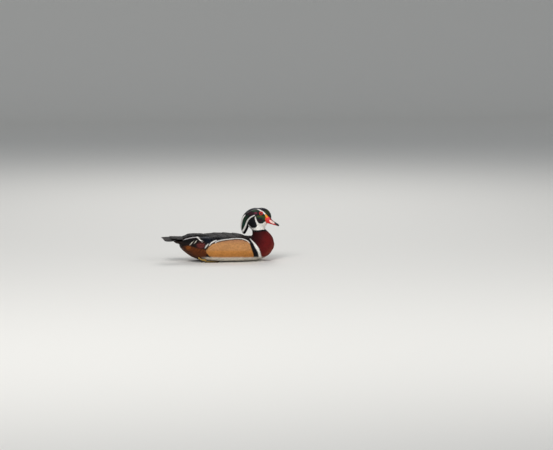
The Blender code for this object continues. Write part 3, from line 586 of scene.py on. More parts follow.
def walk(surface, root, heading, length, rows, half, low, high):
    place, normal = nearestOn(surface, root)
    places, step = [(place, normal)], length / (rows - 1)
    for _ in range(rows - 1):
        heading = (heading - normal * heading.dot(normal)).normalized()
        place, normal = nearestOn(surface, place + heading * step)
        places.append((place, normal))
    return feather(places, half, low, high, 1, length)


def spread(plans, columns, shape, surface=None, camber=.12, arch=1.0):
    # points of every feather of a group, rows from root to tip, columns across
    rows = len(plans[0]["spine"])
    across = np.linspace(-1, 1, columns)
    shares = np.linspace(0, 1, rows)
    points = np.empty((len(plans), rows, columns, 3))
    facing = np.empty((len(plans), rows, columns, 3))
    for index, plan in enumerate(plans):
        spine, normals = plan["spine"], plan["normals"]
        for row in range(rows):
            ahead = spine[min(row + 1, rows - 1)] - spine[max(row - 1, 0)]
            sideways = ahead.cross(normals[row]).normalized()
            lift = plan["low"] + (plan["high"] - plan["low"]) * shares[row] ** arch
            width = shape(shares[row]) * plan["half"]
            for column, side in enumerate(across):
                spot, normal = spine[row] + sideways * (side * width), normals[row]
                if surface and side:
                    spot, normal = nearestOn(surface, spot)
                points[index, row, column] = spot + normal * (lift - camber * width * side * side)
                facing[index, row, column] = normal
    return {"points": points, "facing": facing, "plans": plans, "across": across, "shares": shares}


bakePlan = {"crown": .135, "headBack": .06, "headLong": .12, "headStarts": .64, "bodyLong": .38,
            "island": .003}


def bakePlace(root):
    # a plain unwrap of the skin: round the body's axis below, round the head's above
    if root.z > headPlan["collarHeight"]:
        there = root - headAt
        turn = math.atan2(there.dot(headLeft), there.z - bakePlan["crown"])
        ahead = (there.dot(headForward) + bakePlan["headBack"]) / bakePlan["headLong"]
        return (turn / (2 * math.pi) + .5) * .98, bakePlan["headStarts"] + ahead * .34
    turn = math.atan2(root.y, root.z - bodyPlan["axisHeight"])
    return (turn / (2 * math.pi) + .5) * .98, (root.x - bodyPlan["tailEnd"]) / bakePlan["bodyLong"] * .62


def makeCoat(name, groups, material, colour, replaced=(), wide=False, even=.5):
    # one joined mesh from the groups' arrays; colour(group) gives coat, verm and gloss
    allPoints, allFaces, fields, vanes, bakes = [], [], [], [], []
    start, cell = 0, 0
    cells = math.ceil(math.sqrt(sum(len(group["plans"]) for group in groups)))
    for group in groups:
        points = group["points"]
        count, rows, columns, _ = points.shape
        grid = np.arange(rows * columns).reshape(rows, columns)
        quads = np.stack((grid[:-1, :-1], grid[:-1, 1:], grid[1:, 1:], grid[1:, :-1]), -1).reshape(-1, 4)
        offsets = start + np.arange(count)[:, None, None] * rows * columns
        allFaces.append((quads[None] + offsets).reshape(-1, 4))
        start += count * rows * columns
        flat = points.reshape(-1, 3)
        allPoints.append(flat)
        shares = np.tile(np.repeat(group["shares"], columns), count)
        across = np.tile(np.tile(group["across"], rows), count)
        tones, halves, lengths, hands = (np.repeat([plan[key] for plan in group["plans"]], rows * columns)
                                         for key in ("tone", "half", "length", "hand"))
        group.update(flat=flat, shareList=shares, acrossList=across, toneList=tones, handList=hands)
        fields.append((*colour(group), tones, shares, across * .5 + .5))
        vanes.append(np.stack((across * halves * 1000, shares * lengths * 1000 + tones * 40), -1))
        for plan in group["plans"]:
            inner = np.stack((np.tile(group["across"], rows) * .5 + .5,
                              np.repeat(group["shares"], columns)), -1)
            if wide:
                corner, size = np.array((cell % cells, cell // cells)) / cells, .9 / cells
                cell += 1
            else:
                corner, size = np.array(bakePlace(plan["spine"][0])), bakePlan["island"]
            bakes.append(corner + inner * size)
    mesh = bpy.data.meshes.new(name)
    points, faces = np.concatenate(allPoints), np.concatenate(allFaces)
    mesh.vertices.add(len(points))
    mesh.vertices.foreach_set("co", points.astype(np.float32).ravel())
    mesh.loops.add(faces.size)
    mesh.loops.foreach_set("vertex_index", faces.astype(np.int32).ravel())
    mesh.polygons.add(len(faces))
    mesh.polygons.foreach_set("loop_start", np.arange(0, faces.size, 4, dtype=np.int32))
    mesh.update(calc_edges=True)
    mesh.shade_smooth()
    for label, values in (("vane", np.concatenate(vanes)), ("OFBake", np.concatenate(bakes))):
        layer = mesh.uv_layers.new(name=label)
        layer.data.foreach_set("uv", values[faces.ravel()].astype(np.float32).ravel())
    coat, verm, gloss, tones, shares, across = (np.concatenate(part) for part in zip(*fields))
    setColours(mesh, coat, verm, gloss, tones, shares, across)
    # the vanes take part of their shading from the form below, as barbs that lie shut do
    own = np.empty(points.size, np.float32)
    mesh.vertices.foreach_get("normal", own)
    facing = np.concatenate([group["facing"].reshape(-1, 3) for group in groups])
    blend = own.reshape(-1, 3) * (1 - even) + facing * even
    mesh.normals_split_custom_set_from_vertices((blend / np.linalg.norm(blend, axis=1)[:, None]).tolist())
    piece = placed(name, mesh)
    mesh.materials.append(material)
    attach(piece, "root")
    if replaced:
        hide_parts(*replaced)
    print(name, len(faces) * 2, "triangles")
    return piece


def scatter(form, zone, spacing, count, seed):
    # points spread over the surface by throwing darts, with the zone's own spacing
    throw = random.Random(seed)
    corners, weights = [], []
    bm = bmesh.new()
    bm.from_mesh(form.data)
    for face in bm.faces:
        middle = face.calc_center_median()
        share = zone(middle)
        if share:
            corners.append([vert.co.copy() for vert in face.verts])
            weights.append(face.calc_area() / spacing(middle) ** 2)
    bm.free()
    cells, kept = {}, []
    reach = max(spacing(Vector(corner[0])) for corner in corners[::40])
    for corner in throw.choices(corners, weights, k=count):
        a, b = throw.random(), throw.random()
        point = corner[0].lerp(corner[1], a).lerp(corner[-1].lerp(corner[2 % len(corner)], a), b)
        gap = spacing(point)
        key = tuple(int(value // reach) for value in point)
        near = (other for i in (-1, 0, 1) for j in (-1, 0, 1) for k in (-1, 0, 1)
                for other in cells.get((key[0] + i, key[1] + j, key[2] + k), ()))
        if all((other - point).length > gap for other in near):
            cells.setdefault(key, []).append(point)
            kept.append(point)
    return kept


liePlan = {
    # heights and distances between which the crown's, the neck's, the breast's and the face's way begins
    "crown": (.098, .122), "body": (.066, .094), "breast": (.105, .16), "ahead": (.0, .02),
    "face": (-.005, .012), "brow": (.128, .138), "belly": .012, "eyeHeight": .135, "sway": .12,
}


def lieOf(point, normal):
    # the way the plumage lies: back over the head, down the neck, back along the body
    up = Vector((0, 0, 1))
    high = float(smoothStep(point.z, *liePlan["crown"]))
    low = 1 - float(smoothStep(point.z, *liePlan["body"]))
    front = float(smoothStep(point.x, *liePlan["breast"]))
    face = float(smoothStep((point - headAt).dot(headForward), *liePlan["ahead"]))
    face = face * float(smoothStep(liePlan["eyeHeight"] - point.z, *liePlan["face"]))
    brow = max(0, normal.dot(headForward)) * float(smoothStep(point.z, *liePlan["brow"]))
    onTop = headForward * -1 - up * (.30 + .35 * face - 2.2 * brow)
    neck = up * -1 - headForward * .18
    body = Vector((-1, 0, 0 if point.z < liePlan["belly"] else -.12 - 1.6 * front))
    flow = onTop * high + body * low + neck * (1 - high - low if high + low < 1 else 0)
    return (flow - normal * flow.dot(normal)).normalized()


def contour(points, rows, sizes, skip=None):
    plans = []
    for point in points:
        place, normal = nearestOn(mould, point)
        length, half, low, high = sizes(place)
        grow = draw.uniform(.85, 1.15)
        heading = lieOf(place, normal)
        sway = normal.cross(heading) * draw.uniform(-liePlan["sway"], liePlan["sway"])
        plan = walk(mould, place, heading + sway, length * grow, rows, half * grow, low,
                    high * draw.uniform(.7, 1.3))
        if not (skip and skip(plan)):
            plans.append(plan)
    return plans


def overSkin(plan, zone, rows, columns, shape, sizes, seed, grow=lambda point: 1, skip=None):
    # contour feathers over a zone of the skin
    roots = scatter(bodyForm, zone, lambda point: plan["spacing"] * grow(point), plan["tries"], seed)
    return [spread(contour(roots, rows, sizes, skip), columns, shape, mould)]


def fromPhoto(part="body"):
    return lambda group: paint(group["flat"], part)


def finish(piece, material, replaced=()):
    # a piece that isn't feathers: its material, its body and the solid it stands for
    piece.data.materials.clear()
    piece.data.materials.append(material)
    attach(piece, "root")
    if replaced:
        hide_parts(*replaced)
    return piece


print("bill")
billPlan = {
    "voxel": .0005,
    # the bill with its base lobe, in the photograph's pixels, and the colours laid on it
    "outline": [(264.7, 214.5), (265.4, 213.9), (266.6, 214.6), (268.2, 216), (269.6, 217.6), (270.8, 218.6),
                (272.6, 219.6), (276, 221.5), (280.5, 223.5), (280.5, 227), (272, 226.5), (268, 225),
                (265.9, 222.6), (265.1, 219.5), (265.4, 217)],
    "yellow": [(265.2, 214.9, .7), (266.4, 216, .9), (267.2, 217.2, .6)],
    "edge": [(264.8, 214.6, .35), (265.2, 217, .35), (264.9, 219.6, .4), (265.7, 222.3, .4)],
    "pale": [(269.2, 219.9), (271.2, 220.4), (273, 221.4), (275.1, 222.3), (275.4, 223.5), (273, 223.7),
             (270.8, 222.7), (269.6, 221.4)],
    "ridge": [(270.6, 218.7, .5), (272.4, 220, .65), (274.4, 221.3, .7), (276, 222.2, .8)],
    "nail": [(275.4, 222.9, 1.1), (277.2, 223.9, 1.6), (279, 225.2, 1.3)],
}
billHues = {name: np.array(linear(code)) for name, code in {
    "red": "#d9180f", "rose": "#ee3a44", "yellow": "#f7b02a", "pale": "#f4dcd2", "ridge": "#141014",
    "nail": "#0d0b0e",
}.items()}


def paintBill(points):
    pixels = pixelsOf(towardsRight(points, np.full(len(points), headTurn)))
    tint = repeated(billHues["red"], len(points))
    lay = lambda name, share: laid(tint, billHues[name], share)
    tint = lay("rose", inSpot(pixels, 268.3, 218.6, 2.4, 1.9))
    tint = lay("pale", inPatch(pixels, billPlan["pale"], .4) * .95)
    tint = lay("yellow", onLine(pixels, billPlan["yellow"], .5))
    tint = lay("yellow", onLine(pixels, billPlan["edge"], .3) * .6)
    tint = lay("ridge", onLine(pixels, billPlan["ridge"], .35))
    tint = lay("nail", onLine(pixels, billPlan["nail"], .3))
    return tint


def trimmed(piece, outline):
    # keeps the part of a form that lies inside an outline of the photograph, and turns its rim inwards
    points = arrayOf(piece)
    inside = inPatch(pixelsOf(towardsRight(points, np.full(len(points), headTurn))), outline, .01) > .5
    bm = bmesh.new()
    bm.from_mesh(piece.data)
    bm.verts.ensure_lookup_table()
    ahead = [(vert.co - headAt).dot(headForward) > 0 for vert in bm.verts]
    drop = [vert for vert, keep, front in zip(bm.verts, inside, ahead) if not (keep and front)]
    bmesh.ops.delete(bm, geom=drop, context="VERTS")
    rim = [edge for edge in bm.edges if edge.is_boundary]
    for _ in range(8):
        moved = {}
        for edge in rim:
            for vert, other in (edge.verts, reversed(edge.verts)):
                moved.setdefault(vert, []).append(other.co.copy())
        for vert, places in moved.items():
            vert.co = vert.co * .5 + sum(places, Vector()) / len(places) * .5
    for vert in extruded(bm, rim):
        vert.co -= nearestOn(mould, vert.co)[1] * .0016
    bm.to_mesh(piece.data)
    bm.free()
    piece.data.shade_smooth()


def hornMaterial(name, plan):
    # a duck's bill: thin horn over live skin, waxy, with a fine grain along its length
    material, node, join = newMaterial(name, **plan["fixed"])
    tint = node("Attribute", attribute_name="coat")
    space = node("TexCoord", out="Object")
    grain = node("TexNoise", {"Vector": space, "Scale": plan["grain"], "Detail": 4.0})
    blotch = node("TexNoise", {"Vector": space, "Scale": plan["blotch"], "Detail": 2.0})
    shade = node("MapRange", {0: blotch, 1: .3, 2: .7, 3: .86, 4: 1.1})
    toned = node("VectorMath", {0: tint, 3: shade}, operation="SCALE")
    join("Base Color", toned)
    rough = node("MapRange", {0: grain, 3: plan["rough"] - .08, 4: plan["rough"] + .1})
    join("Roughness", rough)
    bump = node("Bump", {"Height": grain, "Strength": plan["bump"], "Distance": .0002})
    join("Normal", bump)
    return material


billHorn = hornMaterial("bill horn, waxy", {
    "fixed": {"Specular_IOR_Level": .5, "Subsurface_Weight": .06, "Subsurface_Scale": .002},
    "grain": 1400.0, "blotch": 160.0, "rough": .34, "bump": .35})
lidSkin = hornMaterial("bare lid skin, moist", {
    "fixed": {"Specular_IOR_Level": .45, "Subsurface_Weight": .08, "Subsurface_Scale": .001},
    "grain": 2600.0, "blotch": 500.0, "rough": .42, "bump": .6})

billUpper = softened(["head", "bill_upper"], "bill_upper_horn", billPlan["voxel"], 4)
trimmed(billUpper, billPlan["outline"])
billLower = softened(["bill_lower"], "bill_lower_horn", billPlan["voxel"], 3)
for piece, node in ((billUpper, "bill_upper"), (billLower, "bill_lower")):
    points = arrayOf(piece)
    setColours(piece.data, paintBill(points))
    finish(piece, billHorn, [node])
billTree = treeOf(billUpper)

print("eyes and lids")
lidPlan = {"segments": 64, "rings": 48, "size": 1.22, "opening": 60, "squeeze": 6, "back": 100,
           "tone": "#d5291a"}
eyePlan = {"segments": 48, "rings": 32, "reach": 62, "pupil": .47, "iris": "#c3170b", "irisRim": "#5e0a08",
           "pupilTone": "#060508"}
eyeGloss, eyeNode, eyeJoin = newMaterial(
    "eye, wet", Roughness=.08, Specular_IOR_Level=.4, Coat_Weight=.35, Coat_Roughness=.03)
ring = eyeNode("Attribute", out="Fac", attribute_name="fromPupil")
fibre = eyeNode("TexCoord", out="Object")
fleck = eyeNode("TexNoise", {"Vector": fibre, "Scale": 1800.0, "Detail": 3.0})
wander = eyeNode("Math", {0: fleck, 1: .05, 2: ring}, operation="MULTIPLY_ADD")
ramp = eyeNode("ValToRGB", {0: wander})
stops = ((eyePlan["pupil"], "pupilTone"), (eyePlan["pupil"] + .05, "iris"), (.84, "iris"), (.97, "irisRim"))
elements = ramp.node.color_ramp.elements
for index, (stop, hue) in enumerate(stops):
    element = elements[0] if index == 0 else elements.new(stop)
    element.position, element.color = stop, (*linear(eyePlan[hue]), 1)
elements.remove(elements[-1])
eyeJoin("Base Color", ramp)


def aimed(bm, towards, centre):
    bmesh.ops.rotate(bm, verts=bm.verts, matrix=towards.to_track_quat("Z", "Y").to_matrix())
    bmesh.ops.translate(bm, verts=bm.verts, vec=centre)


for side, hand in sides.items():
    low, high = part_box("eye_" + side)
    radius = (high.z - low.z) / 2
    outwards = (headLeft * hand + headForward * .12 + Vector((0, 0, .06))).normalized()
    bm = bmesh.new()
    bmesh.ops.create_uvsphere(bm, u_segments=eyePlan["segments"], v_segments=eyePlan["rings"], radius=radius)
    aimed(bm, outwards, eyeCentres[side])
    ball = objectFrom(bm, "eye_ball_" + side)
    away = np.arccos(np.clip((arrayOf(ball) - eyeCentres[side]) @ np.array(outwards) / radius, -1, 1))
    layer = ball.data.attributes.new("fromPupil", "FLOAT", "POINT")
    layer.data.foreach_set("value", np.clip(away / math.radians(eyePlan["reach"]), 0, 1).astype(np.float32))
    finish(ball, eyeGloss, ["eye_" + side])
    # the bare ring is a zone of a slightly larger ball, open in front and rounded at its lip
    bm = bmesh.new()
    bmesh.ops.create_uvsphere(bm, u_segments=lidPlan["segments"], v_segments=lidPlan["rings"],
                              radius=radius * lidPlan["size"])
    polar = lambda vert: math.degrees(math.acos(max(-1, min(1, vert.co.normalized().z))))
    shut = lambda vert: lidPlan["opening"] - lidPlan["squeeze"] * abs(vert.co.normalized().y) ** 2
    outside = [vert for vert in bm.verts if not shut(vert) < polar(vert) < lidPlan["back"]]
    bmesh.ops.delete(bm, geom=outside, context="VERTS")
    for vert in extruded(bm, [edge for edge in bm.edges if edge.is_boundary]):
        vert.co = vert.co * (.98 / lidPlan["size"])
    relax(bm, [vert for vert in bm.verts if not vert.is_boundary], 3)
    bmesh.ops.recalc_face_normals(bm, faces=bm.faces)
    aimed(bm, outwards, eyeCentres[side])
    lid = objectFrom(bm, "lid_" + side)
    setColours(lid.data, repeated(linear(lidPlan["tone"]), len(lid.data.vertices)))
    finish(lid, lidSkin, ["eyelid_" + side])

print("legs and feet")
legPlan = {"voxel": .0009, "webHeight": (.0022, .0034), "clawFrom": (.006, .003), "skin": "#b08a3c",
           "web": "#5b4a30", "claw": "#1b1613"}
legSkin, legNode, legJoin = newMaterial("scaled leg skin", Specular_IOR_Level=.4, Roughness=.5)
tint = legNode("Attribute", attribute_name="coat")
space = legNode("TexCoord", out="Object")
# scutes about 1.6 mm across, with dusky joints
scutes = legNode("TexVoronoi", {"Vector": space, "Scale": 620.0}, feature="DISTANCE_TO_EDGE")
joint = legNode("MapRange", {0: scutes, 1: 0.0, 2: .12, 3: .45, 4: 1.0})
toned = legNode("VectorMath", {0: tint, 3: joint}, operation="SCALE")
legJoin("Base Color", toned)
bump = legNode("Bump", {"Height": joint, "Strength": .5, "Distance": .0003})
legJoin("Normal", bump)
for side in sides:
    for part in ("leg_", "foot_"):
        piece = softened([part + side], part + side + "_skin", legPlan["voxel"], 2)
        points = arrayOf(piece)
        low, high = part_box(part + side)
        tint = repeated(linear(legPlan["skin"]), len(points))
        if part == "foot_":
            tint = laid(tint, np.array(linear(legPlan["web"])),
                        1 - smoothStep(points[:, 2], *legPlan["webHeight"]))
            claw = smoothStep(points[:, 0], *(high.x - back for back in legPlan["clawFrom"]))
            tint = laid(tint, np.array(linear(legPlan["claw"])), claw)
        setColours(piece.data, tint)
        finish(piece, legSkin, [part + side])

print("head feathers")
headCoat = {"spacing": .0012, "length": .0046, "half": .00105, "low": -.0007, "high": .0003, "tries": 90000,
            "nearEye": (.008, .025)}


def headZone(point):
    return point.z > headPlan["feathersFrom"]


def overEyeOrBill(plan):
    for centre in eyeCentres.values():
        if any((spot - centre).length < headPlan["lidRadius"] for spot in plan["spine"]):
            return True
    fromRoot, fromTip = (billTree.find_nearest(plan["spine"][end])[3] for end in (0, -1))
    return fromRoot < headPlan["rootFromBill"] or fromTip < headPlan["tipFromBill"]


def headSize(place):
    face = 1 - float(smoothStep((place - eyeCentres["right"]).length, *headCoat["nearEye"])) * .5
    size = 1.25 - .45 * face
    return headCoat["length"] * size, headCoat["half"] * size, headCoat["low"], headCoat["high"]


headGroups = overSkin(headCoat, headZone, 5, 3, narrowTip, headSize, 3, skip=overEyeOrBill)
makeCoat("head_plumage", headGroups, silkFeather, fromPhoto(),
         even=.75)

print("crest")
crestPlan = {
    # the crest's middle line in the head's frame: forward, up, half thickness, half depth
    "line": [(.012, .150, .0140, .0150), (-.006, .150, .0155, .0155), (-.021, .143, .0150, .0155),
             (-.032, .131, .0135, .0150), (-.0375, .116, .0115, .0140), (-.040, .102, .0090, .0120),
             (-.0415, .092, .0060, .0085), (-.0425, .084, .0025, .0045)],
    "layers": ((1.0, .0026, .0009), (.86, .0032, .0), (.62, .004, .0)),  # share of the size, spacing, lift
    "half": .0017, "root": -.0006, "reach": (.30, .46), "rows": 13, "drift": .12,
    # the rings of roots; roots deeper than this in the head and feathers shorter than this are left out
    "rings": 17, "first": .03, "step": .052, "jitter": .025, "deepest": .0015, "shortest": .12,
    "metres": .12,              # the crest's length, for the barbs' scale
}


def crestAt(along):
    # the middle line and its sizes at a share of its length, past the end in a straight line
    stations = np.array(crestPlan["line"])
    place = min(max(along, 0), 1) * (len(stations) - 1)
    index = min(int(place), len(stations) - 2)
    a, b, c, d = (stations[min(max(index + step, 0), len(stations) - 1)] for step in (-1, 0, 1, 2))
    t = place - index
    point = b + .5 * t * (c - a + t * (2 * a - 5 * b + 4 * c - d + t * (3 * (b - c) + d - a)))
    if along > 1:
        point = point + (stations[-1] - stations[-2]) * (along - 1) * (len(stations) - 1) * .7
        point[2:] = stations[-1][2:] * max(.3, 1 - (along - 1) * 8)
    return point


def crestPlace(along, turn, share):
    forward, up, thick, deep = crestAt(along)
    ahead = crestAt(along + .01)[:2] - crestAt(along - .01)[:2]
    ahead = ahead / np.linalg.norm(ahead)
    outwards = headForward * ahead[1] * -1 + Vector((0, 0, 1)) * ahead[0]
    if along >= 0 and outwards.dot(headForward * -1 + Vector((0, 0, .6))) < 0:
        outwards = -outwards
    middle = onHead(forward, 0, up)
    place = middle + outwards * (deep * share * math.cos(turn)) + headLeft * (thick * share * math.sin(turn))
    normal = outwards * (math.cos(turn) / deep) + headLeft * (math.sin(turn) / thick)
    return place, normal.normalized()


crestPlans = []
for share, gap, lift in crestPlan["layers"]:
    for step in range(crestPlan["rings"]):
        start = crestPlan["first"] + crestPlan["step"] * step
        _, _, thick, deep = crestAt(start)
        ring = max(4, round(math.pi * (thick + deep) * share / gap))
        for item in range(ring):
            turn = 2 * math.pi * (item + draw.random()) / ring
            first = start + draw.uniform(-crestPlan["jitter"], crestPlan["jitter"])
            place, normal = crestPlace(first, turn, share)
            there, outside = nearestOn(mould, place)
            if (place - there).dot(outside) < -crestPlan["deepest"]:
                continue
            last = min(first + draw.uniform(*crestPlan["reach"]), 1.0 + draw.uniform(-.06, .07))
            if last - first < crestPlan["shortest"]:
                continue
            drift = draw.uniform(-crestPlan["drift"], crestPlan["drift"])
            shares = [row / (crestPlan["rows"] - 1) for row in range(crestPlan["rows"])]
            places = [crestPlace(first + (last - first) * done, turn + drift * done, share)
                      for done in shares]
            crestPlans.append(feather(places, crestPlan["half"] * draw.uniform(.8, 1.2), crestPlan["root"],
                                      lift * draw.uniform(.2, 1.2), 1, (last - first) * crestPlan["metres"]))
makeCoat("crest_plumage", [spread(crestPlans, 3, narrowTip)], silkFeather, fromPhoto("head"),
         replaced=["crest"], even=.55)

print("neck and breast feathers")
breastCoat = {"spacing": .0027, "length": .0095, "half": .0030, "low": -.0009, "high": .0005, "tries": 80000,
              "back": .075, "taper": (.055, .10)}


def breastZone(point):
    return point.z <= headPlan["feathersFrom"] and point.x > breastCoat["back"]


def breastGrow(point):
    return .55 + .45 * (1 - float(smoothStep(point.z, *breastCoat["taper"])))


def breastSize(place):
    grow = breastGrow(place)
    length, half, low, high = (breastCoat[key] for key in ("length", "half", "low", "high"))
    return length * grow, half * grow, low, high * grow


breastGroups = overSkin(breastCoat, breastZone, 6, 5, roundTip, breastSize, 5, breastGrow)
makeCoat("breast_plumage", breastGroups, contourFeather, fromPhoto(),
         replaced=["neck"], even=.6)

print("body feathers")
# the wings' field lies above its lower edge, between its ends and away from the midline
wingField = {"edge": [(176, 238.6), (184, 239.4), (190, 240.4), (197, 243.4), (203, 246.6), (207, 245.4),
                      (213, 242), (221, 240.4), (231, 239.6), (240, 239.2), (244, 238.5)],
             "ends": (177, 240), "midline": .010, "margin": .8}
bodyCoat = {"spacing": .0047, "length": .0175, "half": .0062, "low": -.0010, "high": .0009, "tries": 60000,
            "front": .078, "top": .1}


def inWingField(point):
    if abs(point.y) < wingField["midline"]:
        return False
    x, y = pixelsOf(towardsRight(np.array(point)[None], np.zeros(1)))[0]
    lowest = np.interp(x, *zip(*wingField["edge"])) - wingField["margin"]
    return wingField["ends"][0] < x < wingField["ends"][1] and y < lowest


def bodyZone(point):
    return point.x <= bodyCoat["front"] and point.z < bodyCoat["top"] and not inWingField(point)


bodySize = [bodyCoat[key] for key in ("length", "half", "low", "high")]
bodyGroups = overSkin(bodyCoat, bodyZone, 9, 7, roundTip, lambda place: bodySize, 7)
makeCoat("body_plumage", bodyGroups, contourFeather, fromPhoto(),
         replaced=["torso"], even=.45)

print("wings")
# the wings' own ground: distances from the body's axis, on a grid of x and angle, softened
groundPlan = {"from": -.150, "to": .105, "step": .003, "turn": 3, "widest": 120, "blur": 1.8,
              "outside": .2, "missing": .03}
groundX = np.arange(groundPlan["from"], groundPlan["to"], groundPlan["step"])
groundTurn = np.arange(-groundPlan["widest"], groundPlan["widest"] + 1, groundPlan["turn"])
ground = np.zeros((len(groundX), len(groundTurn)))
for row, x in enumerate(groundX):
    for column, turn in enumerate(np.radians(groundTurn)):
        away = Vector((0, math.sin(turn), math.cos(turn)))
        middle = Vector((x, 0, bodyPlan["axisHeight"]))
        place = hull.ray_cast(middle + away * groundPlan["outside"], -away)[0]
        ground[row, column] = (place - middle).length if place else groundPlan["missing"]
ground = (ground + ground[:, ::-1]) / 2
kernel = np.exp(-np.arange(-6, 7) ** 2 / (2 * groundPlan["blur"] ** 2))
kernel = kernel / kernel.sum()
for axis in (0, 1):
    ground = np.apply_along_axis(lambda line: np.convolve(np.pad(line, 6, "edge"), kernel, "valid"), axis,
                                 ground)


def groundAt(x, angle):
    row = np.clip((x - groundX[0]) / groundPlan["step"], 0, len(groundX) - 1.001)
    column = np.clip((angle - groundTurn[0]) / groundPlan["turn"], 0, len(groundTurn) - 1.001)
    i, j = int(row), int(column)
    u, v = row - i, column - j
    near = ground[i, j] * (1 - u) + ground[i + 1, j] * u
    away = near * (1 - v) + (ground[i, j + 1] * (1 - u) + ground[i + 1, j + 1] * u) * v
    turn = math.radians(angle)
    return Vector((x, away * math.sin(turn), bodyPlan["axisHeight"] + away * math.cos(turn)))


def onHull(x, angle, side):
    place = groundAt(x, angle * side)
    alongX = groundAt(x + .004, angle * side) - groundAt(x - .004, angle * side)
    around = groundAt(x, angle * side + 3) - groundAt(x, angle * side - 3)
    normal = around.cross(alongX).normalized()
    return place, normal if normal.dot(place - Vector((x, 0, bodyPlan["axisHeight"]))) > 0 else -normal


def hullPlace(pixel):
    place, _ = underPixel(hull, pixel)
    return place.x, math.degrees(math.atan2(abs(place.y), place.z - bodyPlan["axisHeight"]))


def vane(start, end, half, low, high, side, rows, bow=0.0):
    # one long feather between two places (x, angle), bowed sideways by some degrees
    places = []
    for row in range(rows):
        done = row / (rows - 1)
        angle = start[1] + (end[1] - start[1]) * done + bow * math.sin(math.pi * done)
        places.append(onHull(start[0] + (end[0] - start[0]) * done, angle, side))
    return feather(places, half * draw.uniform(.94, 1.06), low, high, side)


whiteTop, whiteLow = hullPlace((196.6, 237.2)), hullPlace((204.3, 244.2))
# each tier: count, tips from one place to another, how far forward and down the roots lie, half width,
# heights of root and tip over the form, rows of points and shape
wingTiers = {
    "primaries": (7, ((-.124, 46), (-.117, 12)), (.080, 2), .0058, (-.0008, .0008), 16, longTip),
    "lowestPrimaries": (2, ((-.116, 53), (-.120, 49)), (.070, 2), .0056, (-.0004, .0014), 16, longTip),
    "secondaries": (9, (whiteLow, whiteTop), (.055, 2), .0060, (-.0016, .0004), 14, roundTip),
    "greaterCoverts": (8, ((-.030, 68), (-.040, 44)), (.034, 2), .0066, (-.0020, -.0004), 10, roundTip),
    "middleCoverts": (8, ((-.003, 64), (-.014, 42)), (.030, 2), .0066, (-.0018, .0000), 10, roundTip),
    "tertials": (5, ((-.084, 44), (-.105, 9)), (.078, 0), .0096, (-.0018, .0002), 14, roundTip),
    "scapularsLow": (6, ((-.036, 46), (-.062, 7)), (.058, 0), .0092, (-.0012, .0006), 12, roundTip),
    "scapularsMiddle": (6, ((-.006, 48), (-.030, 7)), (.050, 0), .0092, (-.0010, .0008), 12, roundTip),
    "scapularsFront": (8, ((.022, 55), (.004, 6)), (.042, 0), .0086, (-.0010, .0008), 12, roundTip),
    "shoulder": (8, ((.048, 54), (.036, 6)), (.036, 0), .0078, (-.0012, .0008), 12, roundTip),
}
wingHues = {name: np.array(linear(code)) for name, code in {
    "dark": "#0b0908", "bronze": "#21160f", "blue": "#0c111d", "silver": "#c4bebc", "white": "#f3eee6",
    "edge": "#040304", "maroon": "#1e0d0b",
}.items()}


def wingColour(name):
    def colour(group):
        s, t, tone = group["acrossList"] * group["handList"], group["shareList"], group["toneList"]
        count = len(s)
        base = repeated(wingHues["dark"], count)
        lay = lambda hue, share: laid(base, wingHues[hue], share)
        gloss = np.full(count, .55)
        if name == "lowestPrimaries":
            # the outer web is silvery
            base = lay("silver", smoothStep(-s, .45, .65) * smoothStep(t, .2,
                    .4) * (1 - smoothStep(t, .93, 1)) * .8)
        elif name == "primaries":
            base = lay("bronze", .3 * tone)
        elif name == "secondaries":
            base = lay("blue", (1 - smoothStep(t, .7, .85)) * .8)
            base = lay("edge", smoothStep(t, .72, .8))
            base = lay("white", smoothStep(t, .90, .93))
            gloss = gloss + .3 * (1 - smoothStep(t, .7, .85))
        elif name in ("greaterCoverts", "middleCoverts"):
            base = lay("blue", .4 * np.ones(count))
            base = lay("edge", smoothStep(t, .8, .95) * .9)
        else:
            base = lay("bronze", .35 + .4 * tone * (1 - smoothStep(np.abs(s), .5, 1)))
            base = lay("maroon", .35 * smoothStep(tone, .5, 1))
            base = lay("edge", smoothStep(np.maximum(np.abs(s), t), .86, 1) * .7)
        return base, np.zeros(count), gloss
    return colour


def tierGroup(tier, side):
    plans = []
    count, tips, roots, half, (low, high), rows, shape = tier
    for item in range(count):
        done = item / (count - 1)
        tip = [a + (b - a) * done for a, b in zip(*tips)]
        root = (tip[0] + roots[0] * draw.uniform(.97, 1.03), tip[1] + roots[1] + draw.uniform(-.6, .6))
        rise = .0005 * item / count
        plans.append(vane(root, tip, half, low + rise, high + rise * 2, side, rows, 1.5))
    return spread(plans, 7, shape, camber=.10)


for side, hand in sides.items():
    groups = {name: tierGroup(tier, hand) for name, tier in wingTiers.items()}
    colourOf = {id(group): wingColour(name) for name, group in groups.items()}
    makeCoat("wing_plumage_" + side, list(groups.values()), flightFeather,
             lambda group: colourOf[id(group)](group),
             replaced=["wing_" + side], wide=True, even=.25)

print("tail")
tailPlan = {
    # share of the body's length behind the breast, half width, height of the upper face, droop at the edge
    "stations": [(.70, .026, .0765, .004), (.77, .025, .0765, .004), (.83, .028, .0785, .006),
                 (.88, .031, .079, .008),
                 (.94, .034, .0795, .008), (.985, .034, .0785, .007), (1.0, .034, .0780, .007)],
    "feathers": 12, "half": .0082, "start": .79, "rows": 16, "tone": "#0e0a08", "tipTone": "#261a12",
    # coverts: root, tip, number and how far out they reach
    "coverts": ((.785, .93, 8, .62), (.755, .885, 9, .80), (.72, .84, 8, .9)), "covertHalf": .0068,
}


